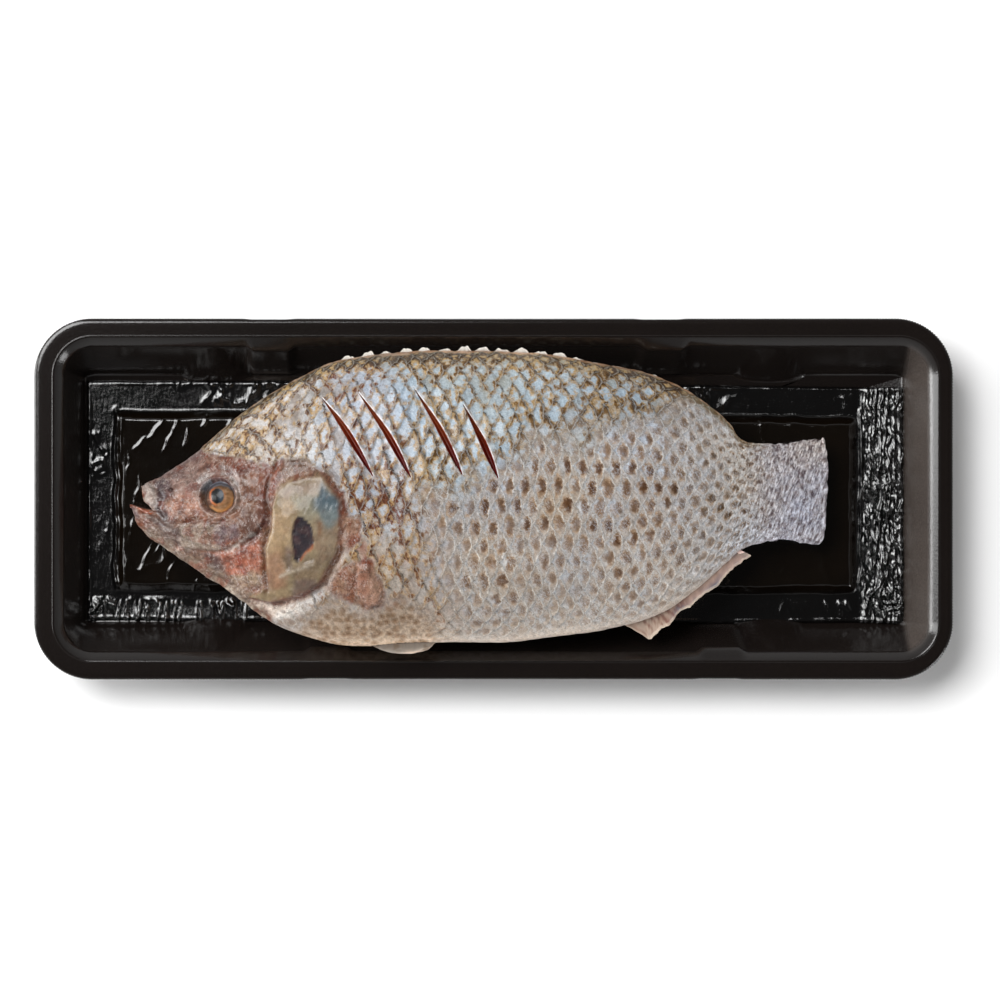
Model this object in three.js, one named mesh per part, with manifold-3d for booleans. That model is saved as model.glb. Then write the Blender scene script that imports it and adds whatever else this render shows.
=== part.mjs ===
// A whole scored tilapia lying on an absorbent pad in a black foam tray.
// Millimetres, +Z up. +X runs towards the tail, +Y towards the back of the fish, and the origin is
// the middle of the tray's flat underside. The fish lies on its right flank, with its left flank up.

import * as THREE from 'three';
import { mergeVertices } from 'three/addons/utils/BufferGeometryUtils.js';
import Module from 'manifold-3d';

const wasm = await Module();
wasm.setup();

// ---------------------------------------------------------------- driving dimensions

// Foam tray
const TRAY_HALF_LENGTH = 187.5;
const TRAY_HALF_WIDTH = 73.7;
const TRAY_CORNER = 23.6;
const TRAY_HEIGHT = 24.5;
const TRAY_LIP_DROP = 2.2;
const TRAY_CREST_INSET = 6.5;
const FOAM = 3;
const FLOOR_HALF_LENGTH = 169;
const FLOOR_HALF_WIDTH = 51.5;
const CONE_X = [-114, 114];
const CONE_HALF_WIDTH = 14.5;
const CONE_PROTRUSION = 3;
const CONE_APEX = 0.85;
const LUG_X = [-91.6, 68];
const LUG_HALF_WIDTH = 11;
const LUG_PROTRUSION = 1.6;

// Absorbent pad: a thick core sealed between two films
const PAD_LEFT = -165;
const PAD_RIGHT = 166;
const PAD_HALF_WIDTH = 48;
const PAD_BOTTOM = FOAM + 0.3;
const PAD_MARGIN_TOP = 4.5;
const PAD_TOP = 8;
const CORE_LEFT = -155;
const CORE_RIGHT = 149;
const CORE_BACK = 36;
const CORE_FRONT = -37;
const CORE_SLOPE = 5;

// Fish
const REST_HEIGHT = PAD_TOP + 0.3;
const FLANK_FULLNESS = 0.8;
const BELLY_FULLNESS = 0.12;
const SCALE_PITCH = 6.2;
const SCALE_ROWS = 18;
const SCALE_RELIEF = 0.45;
const SCALE_LEAN = 0.35;
const SCALES_START = 84;
const NAPE_SCALES_START = 62;
const SCALES_END = 250;
const GILL_COVER_LIFT = 1.3;
const CHEEK_LIFT = 0.9;
const LIP_LIFT = 0.7;
const PECTORAL_LIFT = 2;
const CUT_DEPTH = 7;
const CUT_WIDTH = 2.5;
const FIN_STUB_THICKNESS = 3;
const SPINE_PITCH = 7.8;
const SPINE_COUNT = 17;
const SPINE_HEIGHT = 2;

const SIMPLIFY_WITHIN = 0.08;

// Eyes
const EYE_CENTRE = [-110.4, 0.8];
const EYE_RADIUS = 6.6;
const EYE_FLATTENING = 0.7;
const EYE_DEPTH = 2.2;
const EYE_GAP = 0.3;
const EYE_RIM_RADIUS = 7;
const EYE_RIM_THICKNESS = 0.9;

// Cross-sections of the fish from snout to tail: a point on the back's outline, a point on the
// belly's outline, the height of the middle plane, half the thickness, and how far the middle of
// the section bows towards the tail.
const STATIONS = [
  { back: [-142.8, 5.3], belly: [-147.3, -3.3], mid: 24.2, half: 4.0, bow: 0 },
  { back: [-139.9, 7.1], belly: [-145.6, -8.6], mid: 24.5, half: 5.6, bow: 0 },
  { back: [-134.6, 9.6], belly: [-141.5, -14.3], mid: 25.1, half: 8.2, bow: 0 },
  { back: [-127.6, 14.2], belly: [-134.5, -19.5], mid: 25.9, half: 10.8, bow: 0 },
  { back: [-119.3, 19.9], belly: [-125.8, -24.8], mid: 26.9, half: 13.6, bow: 0 },
  { back: [-110.3, 27.6], belly: [-116.0, -32.1], mid: 28.1, half: 16.4, bow: 0 },
  { back: [-100.5, 35.5], belly: [-107.4, -36.9], mid: 29.2, half: 19.0, bow: 0 },
  { back: [-89.8, 42.6], belly: [-101.2, -41.4], mid: 30.2, half: 21.0, bow: 0 },
  { back: [-77.6, 49.8], belly: [-92.2, -48.6], mid: 31.5, half: 22.9, bow: 0 },
  { back: [-66.2, 55.1], belly: [-77.5, -55.1], mid: 32.4, half: 24.3, bow: 0 },
  { back: [-54.0, 57.3], belly: [-61.3, -59.1], mid: 33.2, half: 25.0, bow: 0 },
  { back: [-37.8, 59.1], belly: [-43.9, -59.5], mid: 33.5, half: 25.2, bow: 0 },
  { back: [-17.6, 59.9], belly: [-21.6, -58.0], mid: 33.5, half: 24.8, bow: 0 },
  { back: [2.6, 59.9], belly: [4.7, -57.9], mid: 33.1, half: 23.7, bow: 0 },
  { back: [22.9, 58.3], belly: [26.1, -55.5], mid: 32.2, half: 21.9, bow: 0 },
  { back: [43.2, 54.9], belly: [45.2, -53.1], mid: 30.6, half: 19.5, bow: 0 },
  { back: [60.3, 51.4], belly: [59.5, -49.5], mid: 28.9, half: 17.0, bow: 0 },
  { back: [75.8, 45.5], belly: [72.6, -43.5], mid: 27.1, half: 14.2, bow: 0 },
  { back: [87.3, 38.3], belly: [85.3, -34.6], mid: 25.0, half: 11.6, bow: 0 },
  { back: [95.6, 31.4], belly: [95.6, -25.7], mid: 23.3, half: 9.6, bow: 0 },
  { back: [100.1, 25.3], belly: [101.4, -20.6], mid: 22.4, half: 8.5, bow: 0 },
  { back: [105.5, 23.1], belly: [108.8, -18.2], mid: 21.2, half: 7.6, bow: 0 },
  { back: [119.2, 23.1], belly: [119.2, -16.8], mid: 19.1, half: 6.2, bow: 0.3 },
  { back: [127.9, 24.4], belly: [127.9, -17.6], mid: 17.6, half: 4.6, bow: 1.5 },
  { back: [134.1, 24.6], belly: [132.5, -18.2], mid: 16.7, half: 3.0, bow: 3.2 },
];

// Outlines on the flank, seen from above
const GILL_COVER = [
  [-88.2, -2.4], [-89.0, -12.4], [-91.2, -20.0], [-90.6, -28.0], [-92.0, -35.5], [-97.6, -39.1],
  [-88.4, -41.5], [-77.2, -38.7], [-68.8, -33.9], [-62.2, -21.6], [-60.7, -8.0], [-60.3, -0.4],
  [-63.2, 3.2], [-68.0, 8.6], [-73.6, 8.8], [-81.9, 7.3], [-85.5, 4.4],
];
const CHEEK = [
  [-90.2, -2.4], [-91.2, -12.5], [-99.8, -16.9], [-108.2, -20.9], [-115.8, -21.3], [-123.9, -20.1],
  [-125.9, -16.5], [-123.5, -11.7], [-115.8, -8.4], [-103.8, -5.2], [-97.8, -0.4],
];
const UPPER_LIP = [
  [-146, 5], [-139.5, 8.5], [-136.2, 0.8], [-133.4, -3.2], [-136.6, -3.4], [-142.0, 0],
];
const LOWER_LIP = [
  [-149.5, -2.0], [-142.9, -3.9], [-136.2, -5.0], [-135.8, -7.3], [-141.1, -6.9], [-147.5, -6],
];
const MOUTH_OPENING = [
  [-152, 6], [-142.4, 4.8], [-140.6, 0.6], [-138.6, -2.8], [-137.8, -4.6], [-142.4, -3.9],
  [-146.9, -2.4], [-152, -1.5],
];
const PECTORAL_FIN = [
  [-56, -27.5], [-50.0, -26.3], [-47.2, -32.3], [-44.2, -39.9], [-46.4, -42.3], [-49.6, -43.5],
  [-55, -39],
];
const ANAL_FIN = [
  [52, -48], [55.4, -52.2], [60.3, -55.1], [64, -56.9], [67.3, -53.7], [72.6, -50], [75.8, -45.9],
  [81.1, -43.1], [85.6, -39], [90.9, -35.8], [93.7, -32.4], [97, -28.9], [102.8, -24.8],
  [104.9, -22.8], [99.2, -21.2], [94, -22], [85, -32], [72, -41], [60, -47],
];
const PELVIC_FIN = { x: -36.5, y: -57.8, length: 12.5, height: 4.6, thickness: 3.2, spread: 3.8 };
const NOSTRIL = { x: -130.4, y: 3.8, radius: 0.9, depth: 2 };

// The four scores: upper end, middle and lower end of each
const CUTS = [
  [[-68.7, 40.5], [-58.8, 27.4], [-47.9, 9.1]],
  [[-53.9, 42.5], [-42.4, 26.1], [-32.8, 8.5]],
  [[-31.4, 43.8], [-21.2, 27.5], [-12.3, 9.5]],
  [[-12.0, 37.6], [-4.4, 23.2], [1.9, 8.2]],
];

// ---------------------------------------------------------------- general helpers

const clamp01 = (v) => Math.min(Math.max(v, 0), 1);
const smooth = (v) => clamp01(v) ** 2 * (3 - 2 * clamp01(v));

// A closed geometry from points and triangles.
function geometryOf(points, triangles) {
  const geometry = new THREE.BufferGeometry();
  geometry.setAttribute('position', new THREE.Float32BufferAttribute(points.flat(), 3));
  geometry.setIndex(triangles);
  return geometry;
}

// Rings of equal length joined into a skin, with a point closing each end. Split along alternating
// diagonals, the quads let every second point stand out as a bump of its own.
function skinRings(rings, startPoint, endPoint, alternating = false) {
  const count = rings[0].length;
  const points = [startPoint, ...rings.flat(), endPoint];
  const last = points.length - 1;
  const at = (ring, k) => 1 + ring * count + (k % count);
  const triangles = [];
  for (let k = 0; k < count; k += 1) {
    triangles.push(0, at(0, k + 1), at(0, k));
    triangles.push(last, at(rings.length - 1, k), at(rings.length - 1, k + 1));
    for (let r = 0; r + 1 < rings.length; r += 1) {
      const corners = [at(r, k), at(r, k + 1), at(r + 1, k + 1), at(r + 1, k)];
      const turn = alternating && (r + k) % 2 === 0 ? 1 : 0;
      const [a, b, c, d] = corners.map((corner, n) => corners[(n + turn) % 4]);
      triangles.push(a, b, c, a, c, d);
    }
  }
  return geometryOf(points, triangles);
}

// A closed geometry as a solid that can be joined and cut. Faces that point in are turned round.
function solidOf(geometry) {
  const bare = geometry.clone();
  bare.deleteAttribute('normal');
  bare.deleteAttribute('uv');
  const merged = mergeVertices(bare, 1e-4);
  const vertProperties = new Float32Array(merged.attributes.position.array);
  const triVerts = new Uint32Array(merged.index.array);
  const solid = new wasm.Manifold(new wasm.Mesh({ numProp: 3, vertProperties, triVerts }));
  if (solid.volume() > 0) return solid;
  triVerts.reverse();
  return new wasm.Manifold(new wasm.Mesh({ numProp: 3, vertProperties, triVerts }));
}

function geometryOfSolid(solid) {
  const mesh = solid.getMesh();
  const geometry = new THREE.BufferGeometry();
  geometry.setAttribute('position', new THREE.BufferAttribute(mesh.vertProperties, 3));
  geometry.setIndex(new THREE.BufferAttribute(mesh.triVerts, 1));
  return geometry;
}

// An upright block of a given outline, from one height to another.
function prism(outline, bottom, top) {
  const shape = new THREE.Shape(outline.map(([x, y]) => new THREE.Vector2(x, y)));
  const block = new THREE.ExtrudeGeometry(shape, { depth: top - bottom, bevelEnabled: false });
  return solidOf(block.translate(0, 0, bottom));
}

// ---------------------------------------------------------------- tray

// How much of a cone's width and depth is left at a height up the wall.
const coneShare = (rise) => clamp01(1 - rise / CONE_APEX);

// Positions along a long side, close together across each cone and lug. They draw together up the
// wall as the cones narrow, and the lugs of the two sides are turned half round from each other.
function longSidePositions(straight, rise, side) {
  const places = [-straight, straight, -40, 0, 30];
  const coneWidth = CONE_HALF_WIDTH * Math.max(coneShare(rise), 0.1);
  CONE_X.forEach((x) => [-1, -0.6, 0, 0.6, 1].forEach((s) => places.push(x + s * coneWidth)));
  LUG_X.forEach((x) => [-1, -0.6, 0.6, 1].forEach((s) => places.push(x * side + s * LUG_HALF_WIDTH)));
  return places.sort((a, b) => a - b);
}

// How far the wall stands inwards at a place along a long side. rise is 0 at the floor, 1 at the
// crest. The cones taper to nothing near the crest, and the lugs keep their depth up the wall.
function wallBulge(x, side, rise) {
  let bulge = 0;
  const cone = coneShare(rise);
  CONE_X.forEach((centre) => {
    const across = Math.abs(x - centre) / (CONE_HALF_WIDTH * Math.max(cone, 0.1));
    bulge = Math.max(bulge, CONE_PROTRUSION * cone * Math.sqrt(clamp01(1 - across ** 2)));
  });
  LUG_X.forEach((centre) => {
    const across = Math.abs(x - centre * side) / LUG_HALF_WIDTH;
    const upright = smooth(rise / 0.2) * smooth((1 - rise) / 0.2);
    bulge = Math.max(bulge, LUG_PROTRUSION * upright * smooth((1 - across) / 0.4));
  });
  return bulge;
}

// One level of the tray: a rounded rectangle whose corners share the rim's corner centres.
function trayRing(halfLength, halfWidth, z, rise) {
  const straightX = TRAY_HALF_LENGTH - TRAY_CORNER;
  const straightY = TRAY_HALF_WIDTH - TRAY_CORNER;
  const radiusX = halfLength - straightX;
  const radiusY = halfWidth - straightY;
  const front = longSidePositions(straightX, rise, -1);
  const back = longSidePositions(straightX, rise, 1);
  const ring = [];
  const corner = (cx, cy, start) => {
    const steps = 5;
    for (let k = 1; k < steps; k += 1) {
      const a = start + (k / steps) * (Math.PI / 2);
      ring.push([cx + radiusX * Math.cos(a), cy + radiusY * Math.sin(a), z]);
    }
  };
  const ends = [-straightY, -straightY / 3, straightY / 3, straightY];
  front.forEach((x) => ring.push([x, -halfWidth + wallBulge(x, -1, rise), z]));
  corner(straightX, -straightY, -Math.PI / 2);
  ends.forEach((y) => ring.push([halfLength, y, z]));
  corner(straightX, straightY, 0);
  back.reverse().forEach((x) => ring.push([x, halfWidth - wallBulge(x, 1, rise), z]));
  corner(-straightX, straightY, Math.PI / 2);
  [...ends].reverse().forEach((y) => ring.push([-halfLength, y, z]));
  corner(-straightX, -straightY, Math.PI);
  return ring;
}

// A level on the wall between the floor and the crest. depth moves it through the foam.
function wallRing(rise, depth) {
  const crestLength = TRAY_HALF_LENGTH - TRAY_CREST_INSET - 1.5;
  const crestWidth = TRAY_HALF_WIDTH - TRAY_CREST_INSET - 1.5;
  const bottom = FOAM;
  const z = bottom + (TRAY_HEIGHT - 0.8 - bottom) * rise;
  const run = 0.93 * rise + 0.07 * rise ** 3;
  const halfLength = FLOOR_HALF_LENGTH + (crestLength - FLOOR_HALF_LENGTH) * run;
  const halfWidth = FLOOR_HALF_WIDTH + (crestWidth - FLOOR_HALF_WIDTH) * run;
  const outwards = 0.8 * depth;
  const downwards = 0.6 * depth;
  return trayRing(halfLength + outwards, halfWidth + outwards, z - downwards, rise);
}

function lipRing(inset, z) {
  return trayRing(TRAY_HALF_LENGTH - inset, TRAY_HALF_WIDTH - inset, z, 1);
}

function trayGeometry() {
  const lipTop = TRAY_HEIGHT - TRAY_LIP_DROP;
  const rings = [
    trayRing(FLOOR_HALF_LENGTH + 0.4, FLOOR_HALF_WIDTH + 0.4, 0, 0),
    trayRing(FLOOR_HALF_LENGTH + 1.6, FLOOR_HALF_WIDTH + 1.6, 0.7, 0.08),
    wallRing(0.5, FOAM),
    lipRing(TRAY_CREST_INSET - FOAM * 0.6, TRAY_HEIGHT - 1 - FOAM),
    lipRing(0.7, lipTop - FOAM),
    lipRing(0, lipTop - FOAM + 0.8),
    lipRing(0, lipTop - 0.8),
    lipRing(0.5, lipTop),
    lipRing(TRAY_CREST_INSET - 1, TRAY_HEIGHT),
    lipRing(TRAY_CREST_INSET + 0.8, TRAY_HEIGHT - 0.2),
    wallRing(0.93, 0),
    wallRing(0.7, 0),
    wallRing(0.4, 0),
    wallRing(0.2, 0),
    wallRing(0.06, 0),
    trayRing(FLOOR_HALF_LENGTH - 0.5, FLOOR_HALF_WIDTH - 0.5, FOAM, 0),
  ];
  return skinRings(rings, [0, 0, 0], [0, 0, FOAM]);
}

// ---------------------------------------------------------------- absorbent pad

// Height of the pad's top: flat margins, a sloping edge, and the flat raised core.
function padTop(x, y) {
  const inside = Math.min(x - CORE_LEFT, CORE_RIGHT - x, y - CORE_FRONT, CORE_BACK - y);
  const ripple = 0.25 * Math.sin(x / 3.1) * smooth(-inside / 3);
  return PAD_MARGIN_TOP + (PAD_TOP - PAD_MARGIN_TOP) * smooth(inside / CORE_SLOPE) + ripple;
}

function padGeometry() {
  const xs = [PAD_LEFT, -160, -156, CORE_LEFT, CORE_LEFT + CORE_SLOPE / 2, CORE_LEFT + CORE_SLOPE];
  for (let x = -120; x < CORE_RIGHT - 10; x += 30) xs.push(x);
  xs.push(CORE_RIGHT - CORE_SLOPE, CORE_RIGHT - CORE_SLOPE / 2, CORE_RIGHT, 153, 157, 161, PAD_RIGHT);
  const edge = PAD_HALF_WIDTH;
  const ys = [-edge, -43, CORE_FRONT, CORE_FRONT + CORE_SLOPE / 2, CORE_FRONT + CORE_SLOPE, -12, 12];
  ys.push(CORE_BACK - CORE_SLOPE, CORE_BACK - CORE_SLOPE / 2, CORE_BACK, 42, edge);
  const points = [];
  const triangles = [];
  const columns = ys.length;
  const top = (i, j) => i * columns + j;
  xs.forEach((x) => ys.forEach((y) => points.push([x, y, padTop(x, y)])));
  for (let i = 0; i + 1 < xs.length; i += 1) {
    for (let j = 0; j + 1 < columns; j += 1) {
      triangles.push(top(i, j), top(i + 1, j), top(i + 1, j + 1));
      triangles.push(top(i, j), top(i + 1, j + 1), top(i, j + 1));
    }
  }
  // The rim runs round the top's edge, and the same loop below closes on the middle of the floor.
  const rim = [];
  for (let i = 0; i < xs.length; i += 1) rim.push(top(i, 0));
  for (let j = 1; j < columns; j += 1) rim.push(top(xs.length - 1, j));
  for (let i = xs.length - 2; i >= 0; i -= 1) rim.push(top(i, columns - 1));
  for (let j = columns - 2; j > 0; j -= 1) rim.push(top(0, j));
  const below = points.length;
  rim.forEach((k) => points.push([points[k][0], points[k][1], PAD_BOTTOM]));
  const middle = points.length;
  points.push([0, 0, PAD_BOTTOM]);
  rim.forEach((k, n) => {
    const next = (n + 1) % rim.length;
    triangles.push(k, below + n, below + next);
    triangles.push(k, below + next, rim[next]);
    triangles.push(below + n, middle, below + next);
  });
  return geometryOf(points, triangles);
}

// ---------------------------------------------------------------- fish body

const curveThrough = (pairs) => new THREE.SplineCurve(pairs.map((p) => new THREE.Vector2(...p)));
const backLine = curveThrough(STATIONS.map((s) => s.back));
const bellyLine = curveThrough(STATIONS.map((s) => s.belly));
const midLine = curveThrough(
  STATIONS.map((s) => [(s.back[0] + s.belly[0]) / 2, (s.back[1] + s.belly[1]) / 2]),
);
const midAndHalf = curveThrough(STATIONS.map((s) => [s.mid, s.half]));
const bowCurve = curveThrough(STATIONS.map((s) => [s.bow, 0]));
midLine.arcLengthDivisions = 800;

// Half the body's thickness at an angle round the section: 0 at the belly, pi at the back.
function sectionWidth(t, angle) {
  const side = Math.abs(Math.sin(angle));
  return midAndHalf.getPoint(t).y * side ** FLANK_FULLNESS * (1 + BELLY_FULLNESS * Math.cos(angle));
}

// A point of the skin. t runs from snout to tail, angle from the belly over the left flank to the
// back and on round the right flank. lift raises the skin off the flanks.
function skinPoint(t, angle, liftAt) {
  const back = backLine.getPoint(t);
  const belly = bellyLine.getPoint(t);
  const share = (1 - Math.cos(angle)) / 2;
  const bow = bowCurve.getPoint(t).x * Math.abs(Math.sin(angle));
  const x = belly.x + (back.x - belly.x) * share + bow;
  const y = belly.y + (back.y - belly.y) * share;
  const mid = midAndHalf.getPoint(t).x;
  const upper = Math.sin(angle) >= 0;
  const lift = liftAt(x, y) * Math.min(Math.abs(Math.sin(angle)) * 3, 1);
  const reach = sectionWidth(t, angle) + lift;
  return [x, y, upper ? mid + reach : Math.max(mid - reach, REST_HEIGHT)];
}

// Distances along the middle line at which the skin has a ring of points.
function ringDistances() {
  const length = midLine.getLength();
  const distances = [0, 1.5, 4];
  const headStep = 4.9;
  for (let d = 8; d < NAPE_SCALES_START - 1; d += headStep) distances.push(d);
  for (let d = NAPE_SCALES_START; d < SCALES_END; d += SCALE_PITCH / 2) distances.push(d);
  for (let d = SCALES_END + 1; d < length - 2; d += 4.5) distances.push(d);
  distances.push(length);
  return distances;
}

// How much of the scales' relief a place has. Scales start behind the gill cover, and further
// forward on the nape.
function scaleShare(distance, angle) {
  const nape = smooth((Math.abs(Math.sin(angle / 2)) - 0.86) / 0.08);
  const start = SCALES_START + (NAPE_SCALES_START - SCALES_START) * nape;
  return smooth((distance - start + 4) / 8) * smooth((SCALES_END - distance) / 12);
}

// The rings of the skin. On the scaled stretch every second point stands proud and leans towards
// the tail, in rows that are offset from one another, as overlapping scales are.
function bodyRings(liftAt, relief) {
  const length = midLine.getLength();
  const around = SCALE_ROWS * 2;
  return ringDistances().map((distance, ring) => {
    const points = [];
    for (let k = 0; k < around; k += 1) {
      const angle = (k / around) * Math.PI * 2;
      const proud = (ring + k) % 2 === 0;
      const scaled = scaleShare(distance, angle);
      const onEdge = k === 0 || k === SCALE_ROWS;
      const height = relief && !onEdge ? scaled * SCALE_RELIEF * (proud ? 1 : -1) : 0;
      const lean = relief && proud && !onEdge ? scaled * SCALE_LEAN * (SCALE_PITCH / 2) : 0;
      const u = Math.min((distance + lean) / length, 1);
      const t = midLine.getUtoTmapping(u);
      points.push(skinPoint(t, angle, (x, y) => height + liftAt(x, y)));
    }
    return points;
  });
}

const ringMiddle = (ring, dx) => {
  const sum = ring.reduce((total, p) => [total[0] + p[0], total[1] + p[1], total[2] + p[2]]);
  return [sum[0] / ring.length + dx, sum[1] / ring.length, sum[2] / ring.length];
};

function bodySolid(liftAt, relief) {
  const rings = bodyRings(liftAt, relief);
  const snout = ringMiddle(rings[0], -0.4);
  const tail = ringMiddle(rings[rings.length - 1], 0.3);
  return solidOf(skinRings(rings, snout, tail, true));
}

// The place on the body over a point seen from above.
function placeOnBody(x, y) {
  let low = 0;
  let high = 1;
  for (let n = 0; n < 40; n += 1) {
    const t = (low + high) / 2;
    const back = backLine.getPoint(t);
    const belly = bellyLine.getPoint(t);
    const side = (back.x - belly.x) * (y - belly.y) - (back.y - belly.y) * (x - belly.x);
    if (side < 0) low = t;
    else high = t;
  }
  const t = (low + high) / 2;
  const back = backLine.getPoint(t);
  const belly = bellyLine.getPoint(t);
  const share = clamp01((y - belly.y) / (back.y - belly.y));
  return { t, angle: Math.acos(1 - 2 * share), mid: midAndHalf.getPoint(t).x };
}

// Heights of the left flank and the right flank at a point seen from above.
function flankHeights(x, y) {
  const place = placeOnBody(x, y);
  const reach = sectionWidth(place.t, place.angle);
  return { left: place.mid + reach, right: Math.max(place.mid - reach, REST_HEIGHT), mid: place.mid };
}

// A part of both flanks inside an outline, raised off the skin with a crisp edge.
function raisedPlate(outline, liftAt) {
  return bodySolid(liftAt, false).intersect(prism(outline, 0, 70));
}

// ---------------------------------------------------------------- fins, scores, eyes

// A thin blade of fin standing on the body's middle plane, following that plane's height.
function finBlade(outline, thickness) {
  const shape = new THREE.Shape(outline.map(([x, y]) => new THREE.Vector2(x, y)));
  const blade = new THREE.ExtrudeGeometry(shape, { depth: thickness, bevelEnabled: false });
  const position = blade.attributes.position;
  for (let k = 0; k < position.count; k += 1) {
    const height = flankHeights(position.getX(k), position.getY(k) * 0.9).mid;
    position.setZ(k, position.getZ(k) - thickness / 2 + height);
  }
  return solidOf(blade);
}

// The point of the back's outline at a given x.
function backAt(x) {
  let low = 0;
  let high = 1;
  for (let n = 0; n < 30; n += 1) {
    const t = (low + high) / 2;
    if (backLine.getPoint(t).x < x) low = t;
    else high = t;
  }
  return backLine.getPoint((low + high) / 2);
}

// The cut-off dorsal fin: a low ridge with one jagged stub for each spine.
function dorsalFin() {
  const start = -63;
  const outer = [];
  for (let n = 0; n < SPINE_COUNT; n += 1) {
    const x = start + n * SPINE_PITCH;
    const height = SPINE_HEIGHT * (0.8 + 0.25 * Math.sin(n * 2.3));
    const dip = 0.25;
    [[0, dip], [0.35, height * 0.8], [0.62, height], [0.85, dip]].forEach(([share, rise]) => {
      const at = backAt(x + share * SPINE_PITCH);
      outer.push([at.x, at.y + rise]);
    });
  }
  const inner = [];
  for (let n = SPINE_COUNT; n >= 0; n -= 2) {
    const at = backAt(start + n * SPINE_PITCH);
    inner.push([at.x, at.y - 3]);
  }
  return finBlade([...outer, ...inner], FIN_STUB_THICKNESS);
}

function pelvicFins() {
  const mid = flankHeights(PELVIC_FIN.x, PELVIC_FIN.y).mid;
  return [-1, 1].map((side) => {
    const stub = new THREE.SphereGeometry(1, 12, 7);
    stub.scale(PELVIC_FIN.length, PELVIC_FIN.height, PELVIC_FIN.thickness);
    stub.translate(PELVIC_FIN.x, PELVIC_FIN.y, mid + side * PELVIC_FIN.spread);
    return solidOf(stub);
  });
}

// One score in one flank: a slit that is widest at its middle and narrows as it goes down.
// up is +1 on the left flank, which faces up, and -1 on the right flank.
function scoreSolid(points, up) {
  const line = curveThrough(points);
  const steps = 6;
  const rings = [];
  for (let n = 0; n <= steps; n += 1) {
    const share = n / steps;
    const at = line.getPoint(share);
    const along = line.getTangent(share);
    const swell = Math.sin(Math.PI * (0.03 + 0.94 * share));
    const flank = flankHeights(at.x, at.y);
    const surface = up > 0 ? flank.left : flank.right;
    const wide = (CUT_WIDTH / 2) * swell;
    const outside = surface + up * 2.5;
    const inside = surface - up * CUT_DEPTH * Math.sqrt(swell);
    const corner = (offset, z) => [at.x - along.y * offset, at.y + along.x * offset, z];
    rings.push([
      corner(-wide * 1.35, outside),
      corner(wide * 1.35, outside),
      corner(0.15, inside),
      corner(-0.15, inside),
    ]);
  }
  return solidOf(skinRings(rings, ringMiddle(rings[0], 0), ringMiddle(rings[steps], 0)));
}

// Where an eye sits: its centre below the skin, and the turn from +Z to the skin's normal.
function eyePlace(up) {
  const [x, y] = EYE_CENTRE;
  const step = 3;
  const heightAt = (px, py) => (up > 0 ? flankHeights(px, py).left : flankHeights(px, py).right);
  const slopeX = (heightAt(x + step, y) - heightAt(x - step, y)) / (2 * step);
  const slopeY = (heightAt(x, y + step) - heightAt(x, y - step)) / (2 * step);
  const normal = new THREE.Vector3(-slopeX * up, -slopeY * up, up).normalize();
  const turn = new THREE.Quaternion().setFromUnitVectors(new THREE.Vector3(0, 0, 1), normal);
  const skin = new THREE.Vector3(x, y, heightAt(x, y));
  return { turn, skin, centre: skin.clone().addScaledVector(normal, -EYE_DEPTH) };
}

// A flattened ball, used for the eye itself and, a little larger, for its socket.
function eyeBall(place, grow) {
  const ball = new THREE.SphereGeometry(EYE_RADIUS + grow, 16, 8);
  ball.rotateX(Math.PI / 2);
  ball.scale(1, 1, (EYE_RADIUS * EYE_FLATTENING + grow) / (EYE_RADIUS + grow));
  ball.applyQuaternion(place.turn);
  return ball.translate(place.centre.x, place.centre.y, place.centre.z);
}

function eyeRim(place) {
  const rim = new THREE.TorusGeometry(EYE_RIM_RADIUS, EYE_RIM_THICKNESS, 5, 16);
  rim.applyQuaternion(place.turn);
  return solidOf(rim.translate(place.skin.x, place.skin.y, place.skin.z));
}

function nostrilPit() {
  const pit = new THREE.CylinderGeometry(NOSTRIL.radius, NOSTRIL.radius * 0.6, 60, 8);
  pit.rotateX(Math.PI / 2);
  const heights = flankHeights(NOSTRIL.x, NOSTRIL.y);
  const left = pit.clone().translate(NOSTRIL.x, NOSTRIL.y, heights.left - NOSTRIL.depth + 30);
  const right = pit.clone().translate(NOSTRIL.x, NOSTRIL.y, heights.right + NOSTRIL.depth - 30);
  return [solidOf(left), solidOf(right)];
}

// ---------------------------------------------------------------- whole fish

const eyePlaces = { left: eyePlace(1), right: eyePlace(-1) };

function fishGeometry() {
  const pectoralLift = (x) => PECTORAL_LIFT * (0.35 + 0.65 * smooth((x + 57) / 10));
  const added = [
    raisedPlate(GILL_COVER, () => GILL_COVER_LIFT),
    raisedPlate(CHEEK, () => CHEEK_LIFT),
    raisedPlate(UPPER_LIP, () => LIP_LIFT),
    raisedPlate(LOWER_LIP, () => LIP_LIFT),
    raisedPlate(PECTORAL_FIN, pectoralLift),
    dorsalFin(),
    finBlade(ANAL_FIN, FIN_STUB_THICKNESS),
    ...pelvicFins(),
    eyeRim(eyePlaces.left),
    eyeRim(eyePlaces.right),
  ];
  const removed = [
    prism(MOUTH_OPENING, 0, 70),
    ...nostrilPit(),
    solidOf(eyeBall(eyePlaces.left, EYE_GAP)),
    solidOf(eyeBall(eyePlaces.right, EYE_GAP)),
    ...CUTS.flatMap((points) => [scoreSolid(points, 1), scoreSolid(points, -1)]),
  ];
  const whole = added.reduce((body, piece) => body.add(piece), bodySolid(() => 0, true));
  const cut = removed.reduce((body, piece) => body.subtract(piece), whole);
  return geometryOfSolid(cut.simplify(SIMPLIFY_WITHIN));
}

// ---------------------------------------------------------------- the assembled object

const LOOKS = {
  foam: { color: 0x1d1a19, roughness: 0.55, metalness: 0 },
  film: { color: 0x14100d, roughness: 0.2, metalness: 0 },
  skin: { color: 0xb3a79c, roughness: 0.35, metalness: 0 },
  eye: { color: 0x9a6b3c, roughness: 0.1, metalness: 0 },
};

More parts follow.
